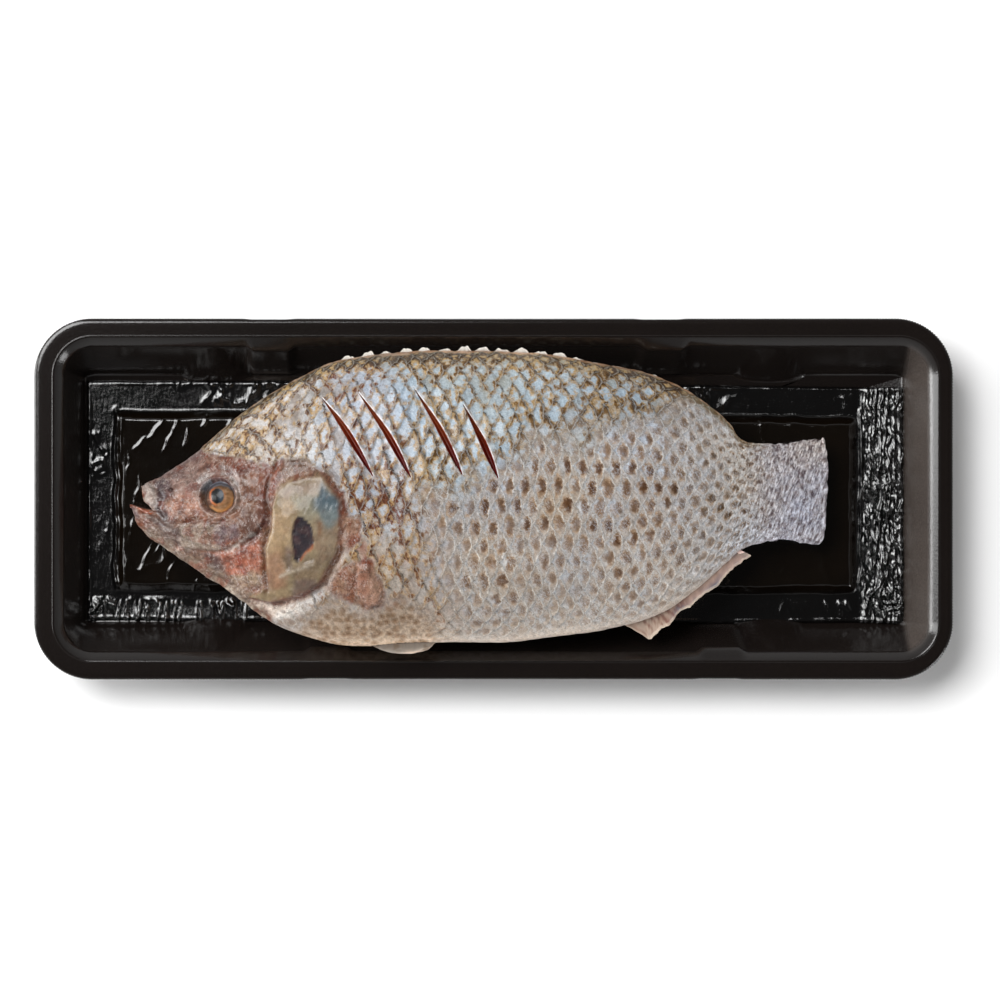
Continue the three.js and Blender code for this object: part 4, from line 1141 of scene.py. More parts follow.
def score_solid(line, up):
    """A slit that is widest below its middle, as the points and faces of a closed mesh."""
    steps = 25
    share = np.linspace(0, 1, steps)
    at = spline(line, share)
    along = np.gradient(at, axis=0)
    along /= np.linalg.norm(along, axis=1, keepdims=True)
    swell = cut_swell(share)
    skin = flank_height(at[:, 0], at[:, 1], up)
    wide = CUT_WIDTH / 2 * swell * SIDE_SLACK
    outside = skin + up * OVERCUT
    inside = skin - up * CUT_DEPTH * np.sqrt(swell)
    corners = [(-wide, outside), (wide, outside), (SLIT_HALF_WIDTH, inside), (-SLIT_HALF_WIDTH, inside)]
    rings = [
        np.stack([at[:, 0] - along[:, 1] * off, at[:, 1] + along[:, 0] * off, z], 1)
        for off, z in corners
    ]
    points = np.stack(rings, 1).reshape(-1, 3)
    faces = grid_faces(steps, 4, close_columns=True).tolist()
    last = (steps - 1) * 4
    faces += [[3, 2, 1, 0], [last, last + 1, last + 2, last + 3]]
    return points, faces


def cutter():
    """One object with the closed meshes of everything that is cut from the fish."""
    solids = [prism_solid(MOUTH_OPENING, *MOUTH_HEIGHTS)]
    solids += [score_solid(line, up) for line in CUTS for up in (1, -1)]
    mesh = bpy.data.meshes.new("cutter")
    points, faces = [], []
    for some_points, some_faces in solids:
        faces += [[k + len(points) for k in face] for face in some_faces]
        points += [tuple(p) for p in some_points]
    mesh.from_pydata((np.array(points) * MM).tolist(), [], faces)
    obj = bpy.data.objects.new("cutter", mesh)
    bpy.context.scene.collection.objects.link(obj)
    turn_out(mesh)
    return obj


def read_points(mesh):
    flat = np.empty(len(mesh.vertices) * 3, np.float32)
    mesh.vertices.foreach_get("co", flat)
    return flat.reshape(-1, 3)


def cut(obj):
    """Cuts the mouth and the scores, and gives the new points and faces their colours."""
    before = KDTree(len(obj.data.vertices))
    old = read_points(obj.data)
    for k, point in enumerate(old):
        before.insert(point, k)
    before.balance()
    tool = cutter()
    modifier = obj.modifiers.new("cut", "BOOLEAN")
    modifier.operation = "DIFFERENCE"
    modifier.solver = "MANIFOLD"
    modifier.object = tool
    shown = obj.evaluated_get(bpy.context.evaluated_depsgraph_get())
    mesh = bpy.data.meshes.new_from_object(shown)
    obj.modifiers.remove(modifier)
    bpy.data.objects.remove(tool)
    new = read_points(mesh)
    found = [before.find(point) for point in new]
    source = np.array([hit[1] for hit in found])
    fresh = np.array([hit[2] for hit in found]) > SAME_PLACE
    for layer in obj.data.attributes:
        if layer.data_type not in ("FLOAT", "FLOAT_COLOR"):
            continue
        width, key = (4, "color") if layer.data_type == "FLOAT_COLOR" else (1, "value")
        values = np.empty(len(old) * width, np.float32)
        layer.data.foreach_get(key, values)
        values = values.reshape(-1, width)[source]
        target = mesh.attributes[layer.name]
        target.data.foreach_set(key, values.ravel())
    skin_look = obj.data.materials[0]
    mesh.materials.clear()
    for material in (skin_look, flesh_material(), mouth_material()):
        mesh.materials.append(material)
    for polygon in mesh.polygons:
        polygon.material_index = 0
        if fresh[list(polygon.vertices)].all():
            polygon.material_index = 2 if polygon.center.x < MOUTH_REAR else 1
            polygon.use_smooth = False
    obj.data = mesh


def make_fish():
    """The fish's skin with its relief and colours, and with its mouth and its scores cut."""
    skin = Skin()
    relief = head_relief(skin) + body_relief(skin)
    points = skin.points + skin.normals * relief[:, None]
    points[:, 2] = np.maximum(points[:, 2], UNDER_LIMIT)
    rows, columns = skin.shape
    points = np.concatenate([points, [points[:columns].mean(0), points[-columns:].mean(0)]])
    face, mark, pale = paint_flank(skin)
    face = paint_head(skin, face)
    pattern = skin.scaled * (1 - 0.75 * skin.belly) * (1 - 0.6 * skin.tail) * (1 - skin.back_strip)
    fibrous = smooth((skin.x - TAIL_FIBRES) / 90)
    # How strong the pale crescents are, partly painted light, strongest towards the back
    crescents = 0.55 + 0.45 * smooth((520 - skin.y) / 70) + 0.25 * noise(skin.flat, 12, 51)
    ovals = 0.7 + 0.45 * bell((skin.y - 500) / 36) + 0.3 * noise(skin.flat, 18, 52)
    ovals = np.clip(ovals - 0.15 * smooth((skin.y - 560) / 40), 0, 1)
    cover = 0.08 + 0.3 * noise(skin.flat, 20, 53) + 0.45 * skin.back_band
    cover = cover + 0.25 * smooth((skin.x - 500) / 120)
    # How strong the painted shadows behind the scales' rear edges are
    edge_shadows = np.clip(skin.upper * (1 - skin.rear) + skin.front + skin.nape * 0.6, 0, 1) * 0.9
    light = light_on(skin.normals)
    calm = 1 - smooth((inside_by(skin.pixels, GILL_COVER) + 1) / 4)
    attributes = {
        "lattice": np.stack([skin.column, skin.row, skin.head * calm], 1),
        "weights": np.stack([pattern, np.maximum(skin.upper, skin.front), fibrous], 1),
        "details": np.stack([skin.cut_gap, skin.small, skin.head], 1),
        "crescents": np.clip(crescents, 0, 1),
        "amounts": np.stack([ovals, cover, edge_shadows], 1),
        "face": painted(face, light),
        "mark": painted(mark, light),
        "pale": painted(pale, light),
    }
    for key, values in attributes.items():
        attributes[key] = np.concatenate([values, values[:1], values[-1:]])
    obj = make_object("tilapia_skin", points, tube_faces(rows, columns), skin_material(), attributes)
    cut(obj)
    return obj


# ---------------------------------------------------------------- eyes

def eye_place(up):
    """The eye's centre under the skin and the turn from straight up to the skin's own direction."""
    x, y = EYE_CENTRE
    step = 3
    xs = np.array([x + step, x - step, x, x, x])
    ys = np.array([y, y, y + step, y - step, y])
    heights = flank_height(xs, ys, up)
    slope_x, slope_y = (heights[0] - heights[1]) / (2 * step), (heights[2] - heights[3]) / (2 * step)
    normal = Vector((-slope_x * up, -slope_y * up, up)).normalized()
    turn = Vector((0, 0, 1)).rotation_difference(normal)
    return Vector((x, y, heights[4])) - normal * EYE_DEPTH, turn


PUPIL = (217.6, 496.0)
PUPIL_SIZE = (6.2, 7.4)
IRIS = (220.5, 499.0)
IRIS_RADIUS = 14.2
# The pale arc above the iris is a painted highlight
GLEAM_RADIUS = 14.5            # of the pale arc above the iris, about the eye's middle


def paint_eye(pixels):
    """Colours of an eye: dark rim, grey-blue upper crescent, golden iris, orange ring and pupil, with a
    painted highlight above the iris, painted light along its lower edge, painted shade over its top and a
    painted reflection on the pupil's right side.
    """
    x, y = (pixels + 0.5 * np.stack([noise(pixels, 4, 61), noise(pixels, 4, 62)], 1)).T
    grain = noise(pixels, (3, 2), 63, 3)
    over = IRIS[1] - y
    past_iris = np.hypot(x - IRIS[0], y - IRIS[1]) - IRIS_RADIUS
    gleam = bell((np.hypot(x - EYE_PIXEL[0], y - EYE_PIXEL[1]) - GLEAM_RADIUS) / 1.5)
    colour = layered(
        one_colour((112, 90, 74), x),
        (smooth((over - 7) / 6), (124, 132, 146)),
        # painted highlight: the pale arc above the iris
        (gleam * smooth((over - 9) / 5) * 0.7, (196, 198, 202)),
        (bell((past_iris - 1.0) / 1.8) * 0.85, (56, 46, 44)),
    )
    lower = smooth((x * 0.4 + y - IRIS[0] * 0.4 - IRIS[1]) / 8)
    from_pupil = np.hypot((x - PUPIL[0]) / PUPIL_SIZE[0], (y - PUPIL[1]) / PUPIL_SIZE[1])
    ring = bell((from_pupil - 1.2) / 0.15) * (0.2 + 0.8 * smooth((PUPIL[0] + 1 - x) / 6))
    iris = layered(
        one_colour((150, 112, 80), x),
        (smooth((IRIS[0] - 2 - x) / 8), (96, 60, 44)),
        (smooth(grain) * 0.6, (186, 154, 122)),
        (smooth(-grain) * 0.6, (78, 60, 50)),
        # painted light along the iris's lower edge
        (bell((past_iris + 2.4) / 1.5) * lower * 0.85, (212, 152, 94)),
        (ring * 0.85, (222, 118, 58)),
        # painted shade over the iris's top
        (smooth((over - 6) / 8) * 0.85, (56, 48, 40)),
    )
    # The pupil's lighter right side is a painted reflection
    pupil = layered(one_colour((22, 22, 28), x), (smooth((x - PUPIL[0] + 1) / 5), (64, 74, 84)))
    colour = blend(colour, smooth(-past_iris / 1.4), iris)
    return blend(colour, smooth((1.08 - from_pupil) / 0.16), pupil)


def eye_material():
    looks = Looks("fish_eye", Coat_Weight=0.15, Coat_Roughness=0.06, IOR=1.35, Specular_IOR_Level=0.25)
    colour = looks.shade(looks.attribute("face", "Color"), 0.85 + looks.noise(0.5, 3) * 0.3)
    return looks.finish(colour, 0.3 + looks.noise(1.5, 2) * 0.1, looks.noise(0.8, 2), 0.03)


def make_eye(name, up, material):
    """The eye of the left flank (up 1) or the right flank (up -1), painted as seen from outside."""
    centre, turn = eye_place(up)
    rings, around = 48, 96
    ball = unit_ball(rings, around) * (1, 1, EYE_FLATTENING) * EYE_RADIUS
    points = ball @ np.array(turn.to_matrix()).T + np.array(centre)
    seen = points.copy()
    if up < 0:
        seen[:, 2] = 2 * centre.z - points[:, 2]
    return make_painted(name, points, tube_faces(rings, around), material, paint_eye(to_pixels(seen)))


# ---------------------------------------------------------------- fin stubs

SPINE_PITCH = 7.8
SPINE_COUNT = 17
SPINE_START = -63
SPINE_HEIGHT = 1.7
SPINE_LONE = 65                # x of the one long chip near the end of the row
ANAL_OUTER = [
    (50, -49.5), (55.4, -52.2), (60.3, -55.1), (64, -56.9), (67.3, -53.7), (72.6, -50), (75.8, -45.9),
    (81.1, -43.1), (85.6, -39), (90.9, -35.8), (93.7, -32.4), (97, -28.9), (102.8, -24.8),
    (104.9, -22.8), (99.5, -22.4),
]
ANAL_INNER = [(50, -44), (60, -43), (72, -37), (85, -28), (94, -20), (98, -19)]
PELVIC = {"x": -36.5, "y": -57.8, "length": 12.5, "height": 4.6, "thickness": 3.2, "spread": 3.8}


def back_line(x):
    """The y of the back's outline and the height of the fish's middle plane at some x."""
    s = spline(STATIONS, np.linspace(0, 1, 2001))
    return np.interp(x, s[:, 0], s[:, 1]), np.interp(x, s[:, 0], s[:, 4])


def strip_solid(base, top, middle, thickness):
    """A closed fin from its base line to its outer line, as thick at each of its rows as told."""
    rows, columns = len(thickness), len(base)
    share = np.linspace(0, 1, rows)[:, None, None]
    plane = base + (top - base) * share
    heights = np.broadcast_to(middle, (rows, columns))
    half = np.asarray(thickness)[:, None] / 2 * np.ones(columns)
    half[:, 0] *= 0.3
    half[:, -1] *= 0.3
    upper = np.concatenate([plane, (heights + half)[..., None]], -1)
    lower = np.concatenate([plane, (heights - half)[..., None]], -1)
    points = np.concatenate([upper, lower[::-1]]).reshape(-1, 3)
    faces = grid_faces(2 * rows, columns, close_rows=True).tolist()
    for end in (0, columns - 1):
        for r in range(rows - 1):
            a, b = r * columns + end, (r + 1) * columns + end
            mirror = [(2 * rows - 1 - k) * columns + end for k in (r, r + 1)]
            faces.append([a, b, mirror[1], mirror[0]])
    return points, faces


def beside(x, y=0.0):
    """Points in a row at places x and one y, at which noise along a line is read."""
    return np.stack([x, x * 0 + y], 1)


def make_dorsal_stubs():
    """The cut-off dorsal fin: white, jagged chips of cut spines along the back."""
    step = 0.33
    x = np.arange(SPINE_START - 2, SPINE_START + SPINE_COUNT * SPINE_PITCH + 2, step)
    y, middle = back_line(x)
    place = (x - SPINE_START) / SPINE_PITCH
    number = np.floor(place)
    part = place - number
    chip = 0.85 + 0.2 * np.sin(number * 2.3) + 0.25 * noise(beside(x), 5, 71)
    saw = smooth((part - 0.02) / 0.42) * smooth((0.97 - part) / 0.24)
    rough = 0.35 * noise(beside(x), 1.6, 72, 3)
    fade = 1 - 0.72 * smooth((x - 26) / 12) + 0.75 * bell((x - SPINE_LONE) / 1.6)
    height = SPINE_HEIGHT * fade * np.clip(chip * saw + rough * saw, 0.02, 1.5)
    height *= smooth((x - x[0]) / 3) * smooth((x[-1] - x) / 3)
    base = np.stack([x, y - 1.6], 1)
    top = np.stack([x, y + height - 0.35], 1)
    points, faces = strip_solid(base, top, middle, [3.4, 3.3, 3.0, 2.6, 1.9, 0.8])
    points[:, 2] += 0.25 * noise(points, 2.4, 73)
    tip = np.clip(points[:, 1] - back_line(points[:, 0])[0] + 0.5, 0, 1)
    colour = layered(one_colour((146, 116, 92), points), (tip, (232, 226, 216)))
    return make_painted("dorsal_fin_stubs", points, faces, fin_material(), colour)


def make_anal_fin():
    """The trimmed anal fin: a spine at its front, a pink base and a blue-grey torn edge."""
    share = np.linspace(0, 1, 150)
    outer = spline(ANAL_OUTER, share)
    inner = spline(ANAL_INNER, share)
    jag = 0.35 * noise(outer, 1.7, 81, 2)
    outer = outer + jag[:, None] * np.array([0.6, -0.8])
    _, middle = back_line(outer[:, 0])
    rows = 9
    thickness = np.interp(np.linspace(0, 1, rows), [0, 0.6, 0.9, 1], [4.5, 3.4, 2.2, 0.9])
    points, faces = strip_solid(inner, outer, middle, thickness)
    points[:, 2] += 0.2 * noise(points, (1.5, 5, 5), 82)
    pixels, flat = to_pixels(points), points[:, :2]
    out, _ = line_distance(flat, outer)
    front = smooth((676 - pixels[:, 0]) / 12)
    grey = smooth((2.9 - out) / 1.2) * (1 - front)
    fan = noise(turned(pixels, 0.75, 0.66), (14, 2.4), 84, 2)
    jagged = 0.6 + 0.4 * noise(flat, 2.5, 86)
    colour = layered(
        one_colour((204, 194, 186), points),
        (smooth((6.0 - out) / 1.5), (204, 172, 156)),
        (grey * (0.55 + 0.45 * noise(flat, 5, 83)), (104, 100, 114)),
        (front * 0.7, (178, 148, 128)),
        (front * smooth(fan * 2) * 0.8, (214, 190, 172)),
        (smooth((692 - pixels[:, 0]) / 12) * smooth(-fan * 2) * 0.7, (138, 88, 76)),
        (jagged * bell(out / 0.4), (210, 196, 176)),
    )
    return make_painted("anal_fin_stub", points, faces, fin_material(), colour)


def make_pelvic_fin(name, side):
    """The stub of a pelvic fin, folded against one side of the belly: 1 for the left, -1 the right."""
    _, middle = back_line(PELVIC["x"])
    rings, around = 30, 40
    ball = np.roll(unit_ball(rings, around), 1, axis=1)
    size = np.array([PELVIC["length"], PELVIC["height"], PELVIC["thickness"]])
    place = np.array([PELVIC["x"], PELVIC["y"], float(middle) + side * PELVIC["spread"]])
    points = ball * size * (1 + 0.05 * noise(ball * 6, 2, 85 + side))[:, None] + place
    points[:, 2] += 0.25 * noise(points, (7, 1.3, 3), 87)
    edge = smooth((-ball[:, 1] - 0.55) / 0.35)
    colour = layered(
        one_colour((146, 134, 122), points),
        (smooth(noise(points[:, :2], 3, 88) * 2), (124, 106, 90)),
        (edge * smooth((points[:, 0] + 38) / 4), (182, 162, 144)),
    )
    return make_painted(name, points, tube_faces(rings, around), fin_material(), colour)


def fin_material():
    looks = Looks("fin_stub", Coat_Weight=0.25, Coat_Roughness=0.25, IOR=1.42)
    rays = looks.noise(1.4, 4, (0.8, 3, 1))
    colour = looks.shade(looks.attribute("face", "Color"), 0.8 + rays * 0.4)
    return looks.finish(colour, 0.4 + looks.noise(2, 2) * 0.2, rays, 0.25)


# ---------------------------------------------------------------- absorbent pad

PAD_LEFT, PAD_RIGHT = -168, 169.2
PAD_BACK, PAD_FRONT = (49.2, 46.2), (-50.2, -51.6)    # the long edges' places at the left and right
PAD_BOTTOM, PAD_MARGIN_TOP, PAD_TOP = 3.3, 4.5, 8.0
CORE_LEFT, CORE_RIGHT, CORE_SLOPE = -157, 151, 5
CORE_INSET = (11.6, 11.4)                            # from the pad's back and front edges
CORE_CORNER = 4                                      # radius of the core's corners
# Where the pad's mesh changes its step along the tray, and the steps
PAD_BREAKS = [-168, -95, 78, 150, 169.2]
PAD_STEPS = [0.4, 0.9, 0.6, 0.35]
PAD_STEP = 0.62
PAD_ACROSS = 99                                      # about the pad's width
PAD_LIMIT = 8.05                                     # the fish lies just over this height

# Creases of the film over the core: middle, direction, length, height and width
CORE_CREASES = [
    ((-139, 29), (0.66, 0.75), 15, 1.0, 0.6), ((-146, 23), (0.7, 0.7), 9, 0.6, 0.5),
    ((-131, 31), (0.5, 0.85), 8, 0.7, 0.5), ((-127, 25), (0.2, 1), 11, 0.6, 0.5),
    ((-119, 32), (0.5, 0.8), 8, 0.6, 0.5), ((-134, 24), (0.3, 1), 12, 0.6, 0.6),
    ((86, -35), (0.35, 0.95), 13, 0.7, 0.5), ((80, -32), (0.4, 0.9), 8, 0.5, 0.4),
    ((96, -36), (0.6, 0.7), 7, 0.5, 0.4), ((104, -37), (0.8, 0.5), 9, 0.5, 0.4),
    ((119, -30), (0.5, 0.8), 6, 0.4, 0.4), ((112, 31), (0.4, 0.9), 8, 0.35, 0.4),
    ((137, 30), (0.5, 0.85), 6, 0.3, 0.4), ((-147, 4), (0.15, 1), 16, 0.4, 0.5),
    ((-149, -13), (0.3, 1), 12, 0.45, 0.5), ((-143, -24), (0.35, 0.9), 16, 0.5, 0.6),
    ((-133, -30), (0.3, 0.9), 12, 0.45, 0.5), ((-151, 14), (0.1, 1), 12, 0.4, 0.4),
    ((-138, -20), (0.5, 0.8), 7, 0.4, 0.4), ((-123, -36), (0.4, 0.9), 8, 0.4, 0.4),
]
# Folds that run across the tray: x, how far they wander and how long their waves are, width, height
FOLD_LEFT = (-156.2, -0.9, 10, 111, 0.9, 1.5)
FOLD_SECOND = (-153.4, -1.2, 9, 116, 0.7, 0.9)
FOLD_RIGHT = (151.6, 0.7, 9, 112, 0.6, 1.2)


def ridges(points, size, seed, sharpness=3, wander=1.2):
    """Sharp wandering creases from 0 to 1 with a given spacing along each axis."""
    warp = np.stack([noise(points, 7, seed + 500, 2), noise(points, 7, seed + 600, 2)], 1) * wander
    wave = 1 - np.abs(noise(points + warp, size, seed, 2))
    return np.clip(wave, 0, 1) ** sharpness


def pad_core(x, from_back, from_front):
    """How far a place lies inside the outline of the pad's raised core."""
    across = CORE_CORNER - np.minimum(from_back - CORE_INSET[0], from_front - CORE_INSET[1])
    along = CORE_CORNER - np.minimum(x - CORE_LEFT, CORE_RIGHT - x)
    rounded = CORE_CORNER - np.hypot(np.maximum(across, 0), np.maximum(along, 0))
    return np.where(np.maximum(across, along) > 0, rounded, CORE_CORNER - np.maximum(across, along))


def across_fold(flat, place, wander, wave, seed, width, tall):
    """The height of a wandering fold that runs across the tray."""
    return tall * bell((flat[:, 0] - place - wander * noise(flat, (40, wave), seed)) / width)


def pad_height(flat, from_back, from_front):
    """Height of the pad's film: the core, the sealed margins and the creases of the film."""
    x, y = flat.T
    core = pad_core(x, from_back, from_front) + 0.5 * noise(flat, 11, 123, 3)
    height = PAD_MARGIN_TOP + (PAD_TOP - 0.3 - PAD_MARGIN_TOP) * smooth(core / CORE_SLOPE)
    askew = turned(flat, 0.9, 0.45)
    # The densely crinkled film past the tail and in front of the head
    tail_end = smooth((x - 151.5) / 2)
    tail = 2.3 * ridges(flat, (1.8, 11), 102, 4, 0.8) + 1.5 * ridges(askew, (1.7, 7), 103, 5, 0.8)
    height += tail_end * (tail - 0.4) * (0.75 + 0.3 * noise(flat, 12, 99))
    head_front = smooth((8.5 - from_front) / 2) * smooth((-98 - x) / 8)
    height += head_front * 2.6 * (ridges(flat, (2.1, 16), 104, 5, 0.4) - 0.12)
    # Margins with patches of creases: share, height, places, spacing, seed, and the patches' noise
    before_tail = smooth((150 - x) / 5)
    back = smooth((11 - from_back) / 2) * before_tail
    front = smooth((10 - from_front) / 2) * (1 - head_front) * before_tail
    for share, tall, places, spacing, seed, patch, patch_seed, more in (
        (back, 1.0, flat, (3.4, 9), 105, 22, 106, 0.3),
        (front, 1.1, askew, (3.6, 10), 107, 20, 108, 0.35),
        (smooth((-158 - x) / 2), 0.9, askew, (3.4, 4.5), 109, 14, 110, 0.2),
    ):
        height += share * tall * ridges(places, spacing, seed) * smooth(noise(flat, patch, patch_seed) + more)
    height += 0.5 * smooth(core / 3) * ridges(flat, (13, 17), 114, 5) * smooth(noise(flat, 30, 115))
    for fold, share in (
        (FOLD_LEFT, smooth((from_back - 10) / 4) * smooth((from_front - 10) / 6)),
        (FOLD_SECOND, smooth((y - 12) / 6) * smooth((from_back - 12) / 3)),
        (FOLD_RIGHT, smooth((from_front - 12) / 4) * smooth((from_back - 8) / 4)),
    ):
        height += across_fold(flat, *fold) * share
    corner = smooth((x - 160) / 2) * smooth((12 - from_front) / 2) * smooth(from_front - 3)
    height += corner * 1.6 * (ridges(flat, (2.6, 2.6), 113, 1.5) - 0.4)
    bent = flat + 0.8 * np.stack([noise(flat, 5, 117), noise(flat, 5, 118)], 1)
    for middle, run, length, tall, width in CORE_CREASES:
        start = np.array(middle) - np.array(run) * length / 2
        away, along = line_distance(bent, [start, start + np.array(run) * length])
        height += 0.6 * tall * bell(away / width) * np.sin(math.pi * along)
    edge = np.minimum.reduce([x - PAD_LEFT, PAD_RIGHT - x, from_back, from_front])
    lip = 0.5 * bell((edge - 1.1) / 0.5) * smooth(noise(flat, 9, 119) + 0.6)
    height += lip - 0.8 * (1 - smooth(edge / 0.8))
    return np.clip(height, PAD_BOTTOM + 0.4, PAD_LIMIT)


def wall_foot(points):
    """Height of the tray's surface under the pad's edge, which lies up against the walls' feet."""
    beyond_side = np.abs(points[:, 1]) - FLOOR_HALF_WIDTH
    beyond_end = np.abs(points[:, 0]) - FLOOR_HALF_LENGTH
    return FOAM + 1.6 * np.clip(np.maximum(beyond_side, beyond_end), 0, 5)


def make_pad():
    """The pad's film: a fine grid on top, its edge carried down to a flat underside."""
    parts = [np.arange(a, b, step) for a, b, step in zip(PAD_BREAKS, PAD_BREAKS[1:], PAD_STEPS)]
    places = np.append(np.concatenate(parts), PAD_RIGHT)
    rows, columns = len(places), round(PAD_ACROSS / PAD_STEP)
    x, across = [a.ravel() for a in np.meshgrid(places, np.linspace(0, 1, columns), indexing="ij")]
    along = (x - PAD_LEFT) / (PAD_RIGHT - PAD_LEFT)
    front = PAD_FRONT[0] + (PAD_FRONT[1] - PAD_FRONT[0]) * along
    back = PAD_BACK[0] + (PAD_BACK[1] - PAD_BACK[0]) * along
    front = front + 0.35 * noise(beside(x), 30, 121, 3)
    back = back + 0.35 * noise(beside(x, 50), 30, 122, 3)
    y = front + (back - front) * across
    flat = np.stack([x, y], 1)
    points = np.column_stack([flat, pad_height(flat, back - y, y - front)])
    points[:, 2] += np.clip(wall_foot(points) - FOAM, 0, 2)
    top = np.arange(rows * columns).reshape(rows, columns)
    rim = np.concatenate([top[:, 0], top[-1, 1:], top[-2::-1, -1], top[0, -2:0:-1]])
    below = points[rim].copy()
    below[:, 2] = wall_foot(below) + PAD_BOTTOM - FOAM
    ring = np.arange(len(rim)) + len(points)
    points = np.concatenate([points, below, [[0, 0, PAD_BOTTOM]]])
    faces = grid_faces(rows, columns).tolist()
    faces += np.stack([rim, ring, np.roll(ring, -1), np.roll(rim, -1)], 1).tolist()
    faces += fan_faces(ring, len(points) - 1).tolist()
    core = smooth(pad_core(x, back - y, y - front) / 3)
    bright_ends = smooth((x - 150) / 3) + smooth((8.5 - y + front) / 2) * smooth((-98 - x) / 8)
    crinkled = (1 - core) * (0.35 + 0.65 * np.clip(bright_ends, 0, 1))
    added = np.zeros(len(points) - len(core))
    attributes = {"core": np.append(core, added), "crinkled": np.append(crinkled, added)}
    return make_object("pad_film", points, faces, pad_material(), attributes)


def pad_material():
    """Black film, glossy and finely crinkled, a little brown over the core."""
    looks = Looks("pad_film", IOR=1.62)
    core = looks.attribute("core")
    brown = looks.mix((0.0022, 0.002, 0.002), (0.0032, 0.0019, 0.0010), core)
    colour = looks.shade(brown, 0.6 + looks.noise(14, 4) * 0.8)
    wrinkles = looks.noise(1.4, 5, (0.6, 2.2, 1), 0.65)
    swell = looks.noise(8, 3)
    crinkled = looks.attribute("crinkled")
    height = wrinkles * (0.1 + crinkled * 0.5) + swell * 0.5
    looks.feed(looks.shader.inputs["Specular IOR Level"], 0.42 + crinkled * 0.5)
    return looks.finish(colour, 0.06 + looks.noise(5, 3) * 0.08, height, 0.4)


# ---------------------------------------------------------------- foam tray

TRAY_HALF_LENGTH, TRAY_HALF_WIDTH, TRAY_CORNER = 187.5, 73.7, 23.6
TRAY_HEIGHT, TRAY_LIP_DROP, UNDERSIDE_INSET, FOAM = 24.5, 1.7, 4.7, 3
FLOOR_HALF_LENGTH, FLOOR_HALF_WIDTH = 169, 51.5
CONE_X, CONE_HALF_WIDTH, CONE_PROTRUSION, CONE_APEX = (-114, 114), 14.5, 3, 0.85
LUG_X, LUG_HALF_WIDTH, LUG_PROTRUSION = (-91.6, 68), 11, 1.6
CREST_INSET = 7.4
CREST_SHIFT = (0.6, 1.5)       # how far the crest is moved to the right at the tray's left and right ends
# The bend from the rim's crest into the wall: radius and the slopes that it runs through, in degrees
BEND_ARCS = [(1.0, 0, 32), (20, 32, 42), (6, 42, 55), (4, 55, 70)]
# Inset of the flange's levels and their drop from the crest
FLANGE = [
    (1.5, 0.3), (2.4, 0.26), (3.4, 0.25), (4.4, 0.25), (5.4, 0.25), (6.3, 0.25), (6.9, 0.25), (7.0, 0.24),
    (7.06, 0.18), (7.14, 0.04), (7.2, 0.0),
]
TOOTH = 0.6                    # half the pitch of the fine teeth along the rim's outer edge
TOOTH_DEPTH = 0.45


def wall_bulge(x, side, rise):
    """How far the wall stands inwards along a long side: cones, and lugs that keep their depth."""
    bulge = np.zeros_like(x)
    cone = np.clip(1 - rise / CONE_APEX, 0, 1)
    for middle in CONE_X:
        across = np.abs(x - middle) / (CONE_HALF_WIDTH * max(cone, 0.1))
        bulge = np.maximum(bulge, CONE_PROTRUSION * cone * np.sqrt(np.clip(1 - across ** 2, 0, 1)))
    upright = smooth(rise / 0.2) * smooth((1 - rise) / 0.2)
    for middle in LUG_X:
        across = np.abs(x - middle * side) / LUG_HALF_WIDTH
        bulge = np.maximum(bulge, LUG_PROTRUSION * upright * smooth((1 - across) / 0.4))
    return bulge


def tray_ring(half_length, half_width, z, rise, teeth=0.0):
    """One level of the tray: a rounded rectangle whose corners share the rim's corner centres."""
    straight_x, straight_y = TRAY_HALF_LENGTH - TRAY_CORNER, TRAY_HALF_WIDTH - TRAY_CORNER
    radius_x, radius_y = half_length - straight_x, half_width - straight_y
    xs = np.linspace(-straight_x, straight_x, 2 * round(straight_x / TOOTH), endpoint=False)
    ys = np.linspace(-straight_y, straight_y, 2 * round(straight_y / TOOTH), endpoint=False)
    bend = np.linspace(0, math.pi / 2, 2 * round(TRAY_CORNER * math.pi / 4 / TOOTH), endpoint=False)

    def corner(x, y, start):
        return x + radius_x * np.cos(start + bend), y + radius_y * np.sin(start + bend)
    parts = []
    for side in (-1, 1):
        x, end = -side * xs, -side * straight_x
        parts.append((x, side * (half_width - wall_bulge(x, side, rise))))
        parts.append(corner(end, side * straight_y, side * math.pi / 2))
        parts.append((np.full(len(ys), -side * half_length), -side * ys))
        parts.append(corner(end, -side * straight_y, (1 + side) * math.pi / 2))
    ring = np.concatenate(parts, axis=1).T
    ring[1::2] *= 1 - teeth / np.linalg.norm(ring[1::2], axis=1, keepdims=True)
    return np.column_stack([ring, np.full(len(ring), z)])


def level(inset, z, teeth=0.0):
    """A level of the rim: the same distance in from the outer edge all round."""
    rise = np.clip((z - FOAM) / (TRAY_HEIGHT - FOAM), 0, 1)
    return tray_ring(TRAY_HALF_LENGTH - inset, TRAY_HALF_WIDTH - inset, z, rise, teeth)


def bend_levels():
    """Inset and height of the wide bend that leads from the crest down into the walls."""
    inset, z = CREST_INSET, TRAY_HEIGHT
    found = [(inset, z)]
    for radius, start, end in BEND_ARCS:
        slopes = np.radians(np.linspace(start, end, 4))
        for before, after in zip(slopes, slopes[1:]):
            inset += radius * (math.sin(after) - math.sin(before))
            z -= radius * (math.cos(before) - math.cos(after))
            found.append((inset, z))
    return found


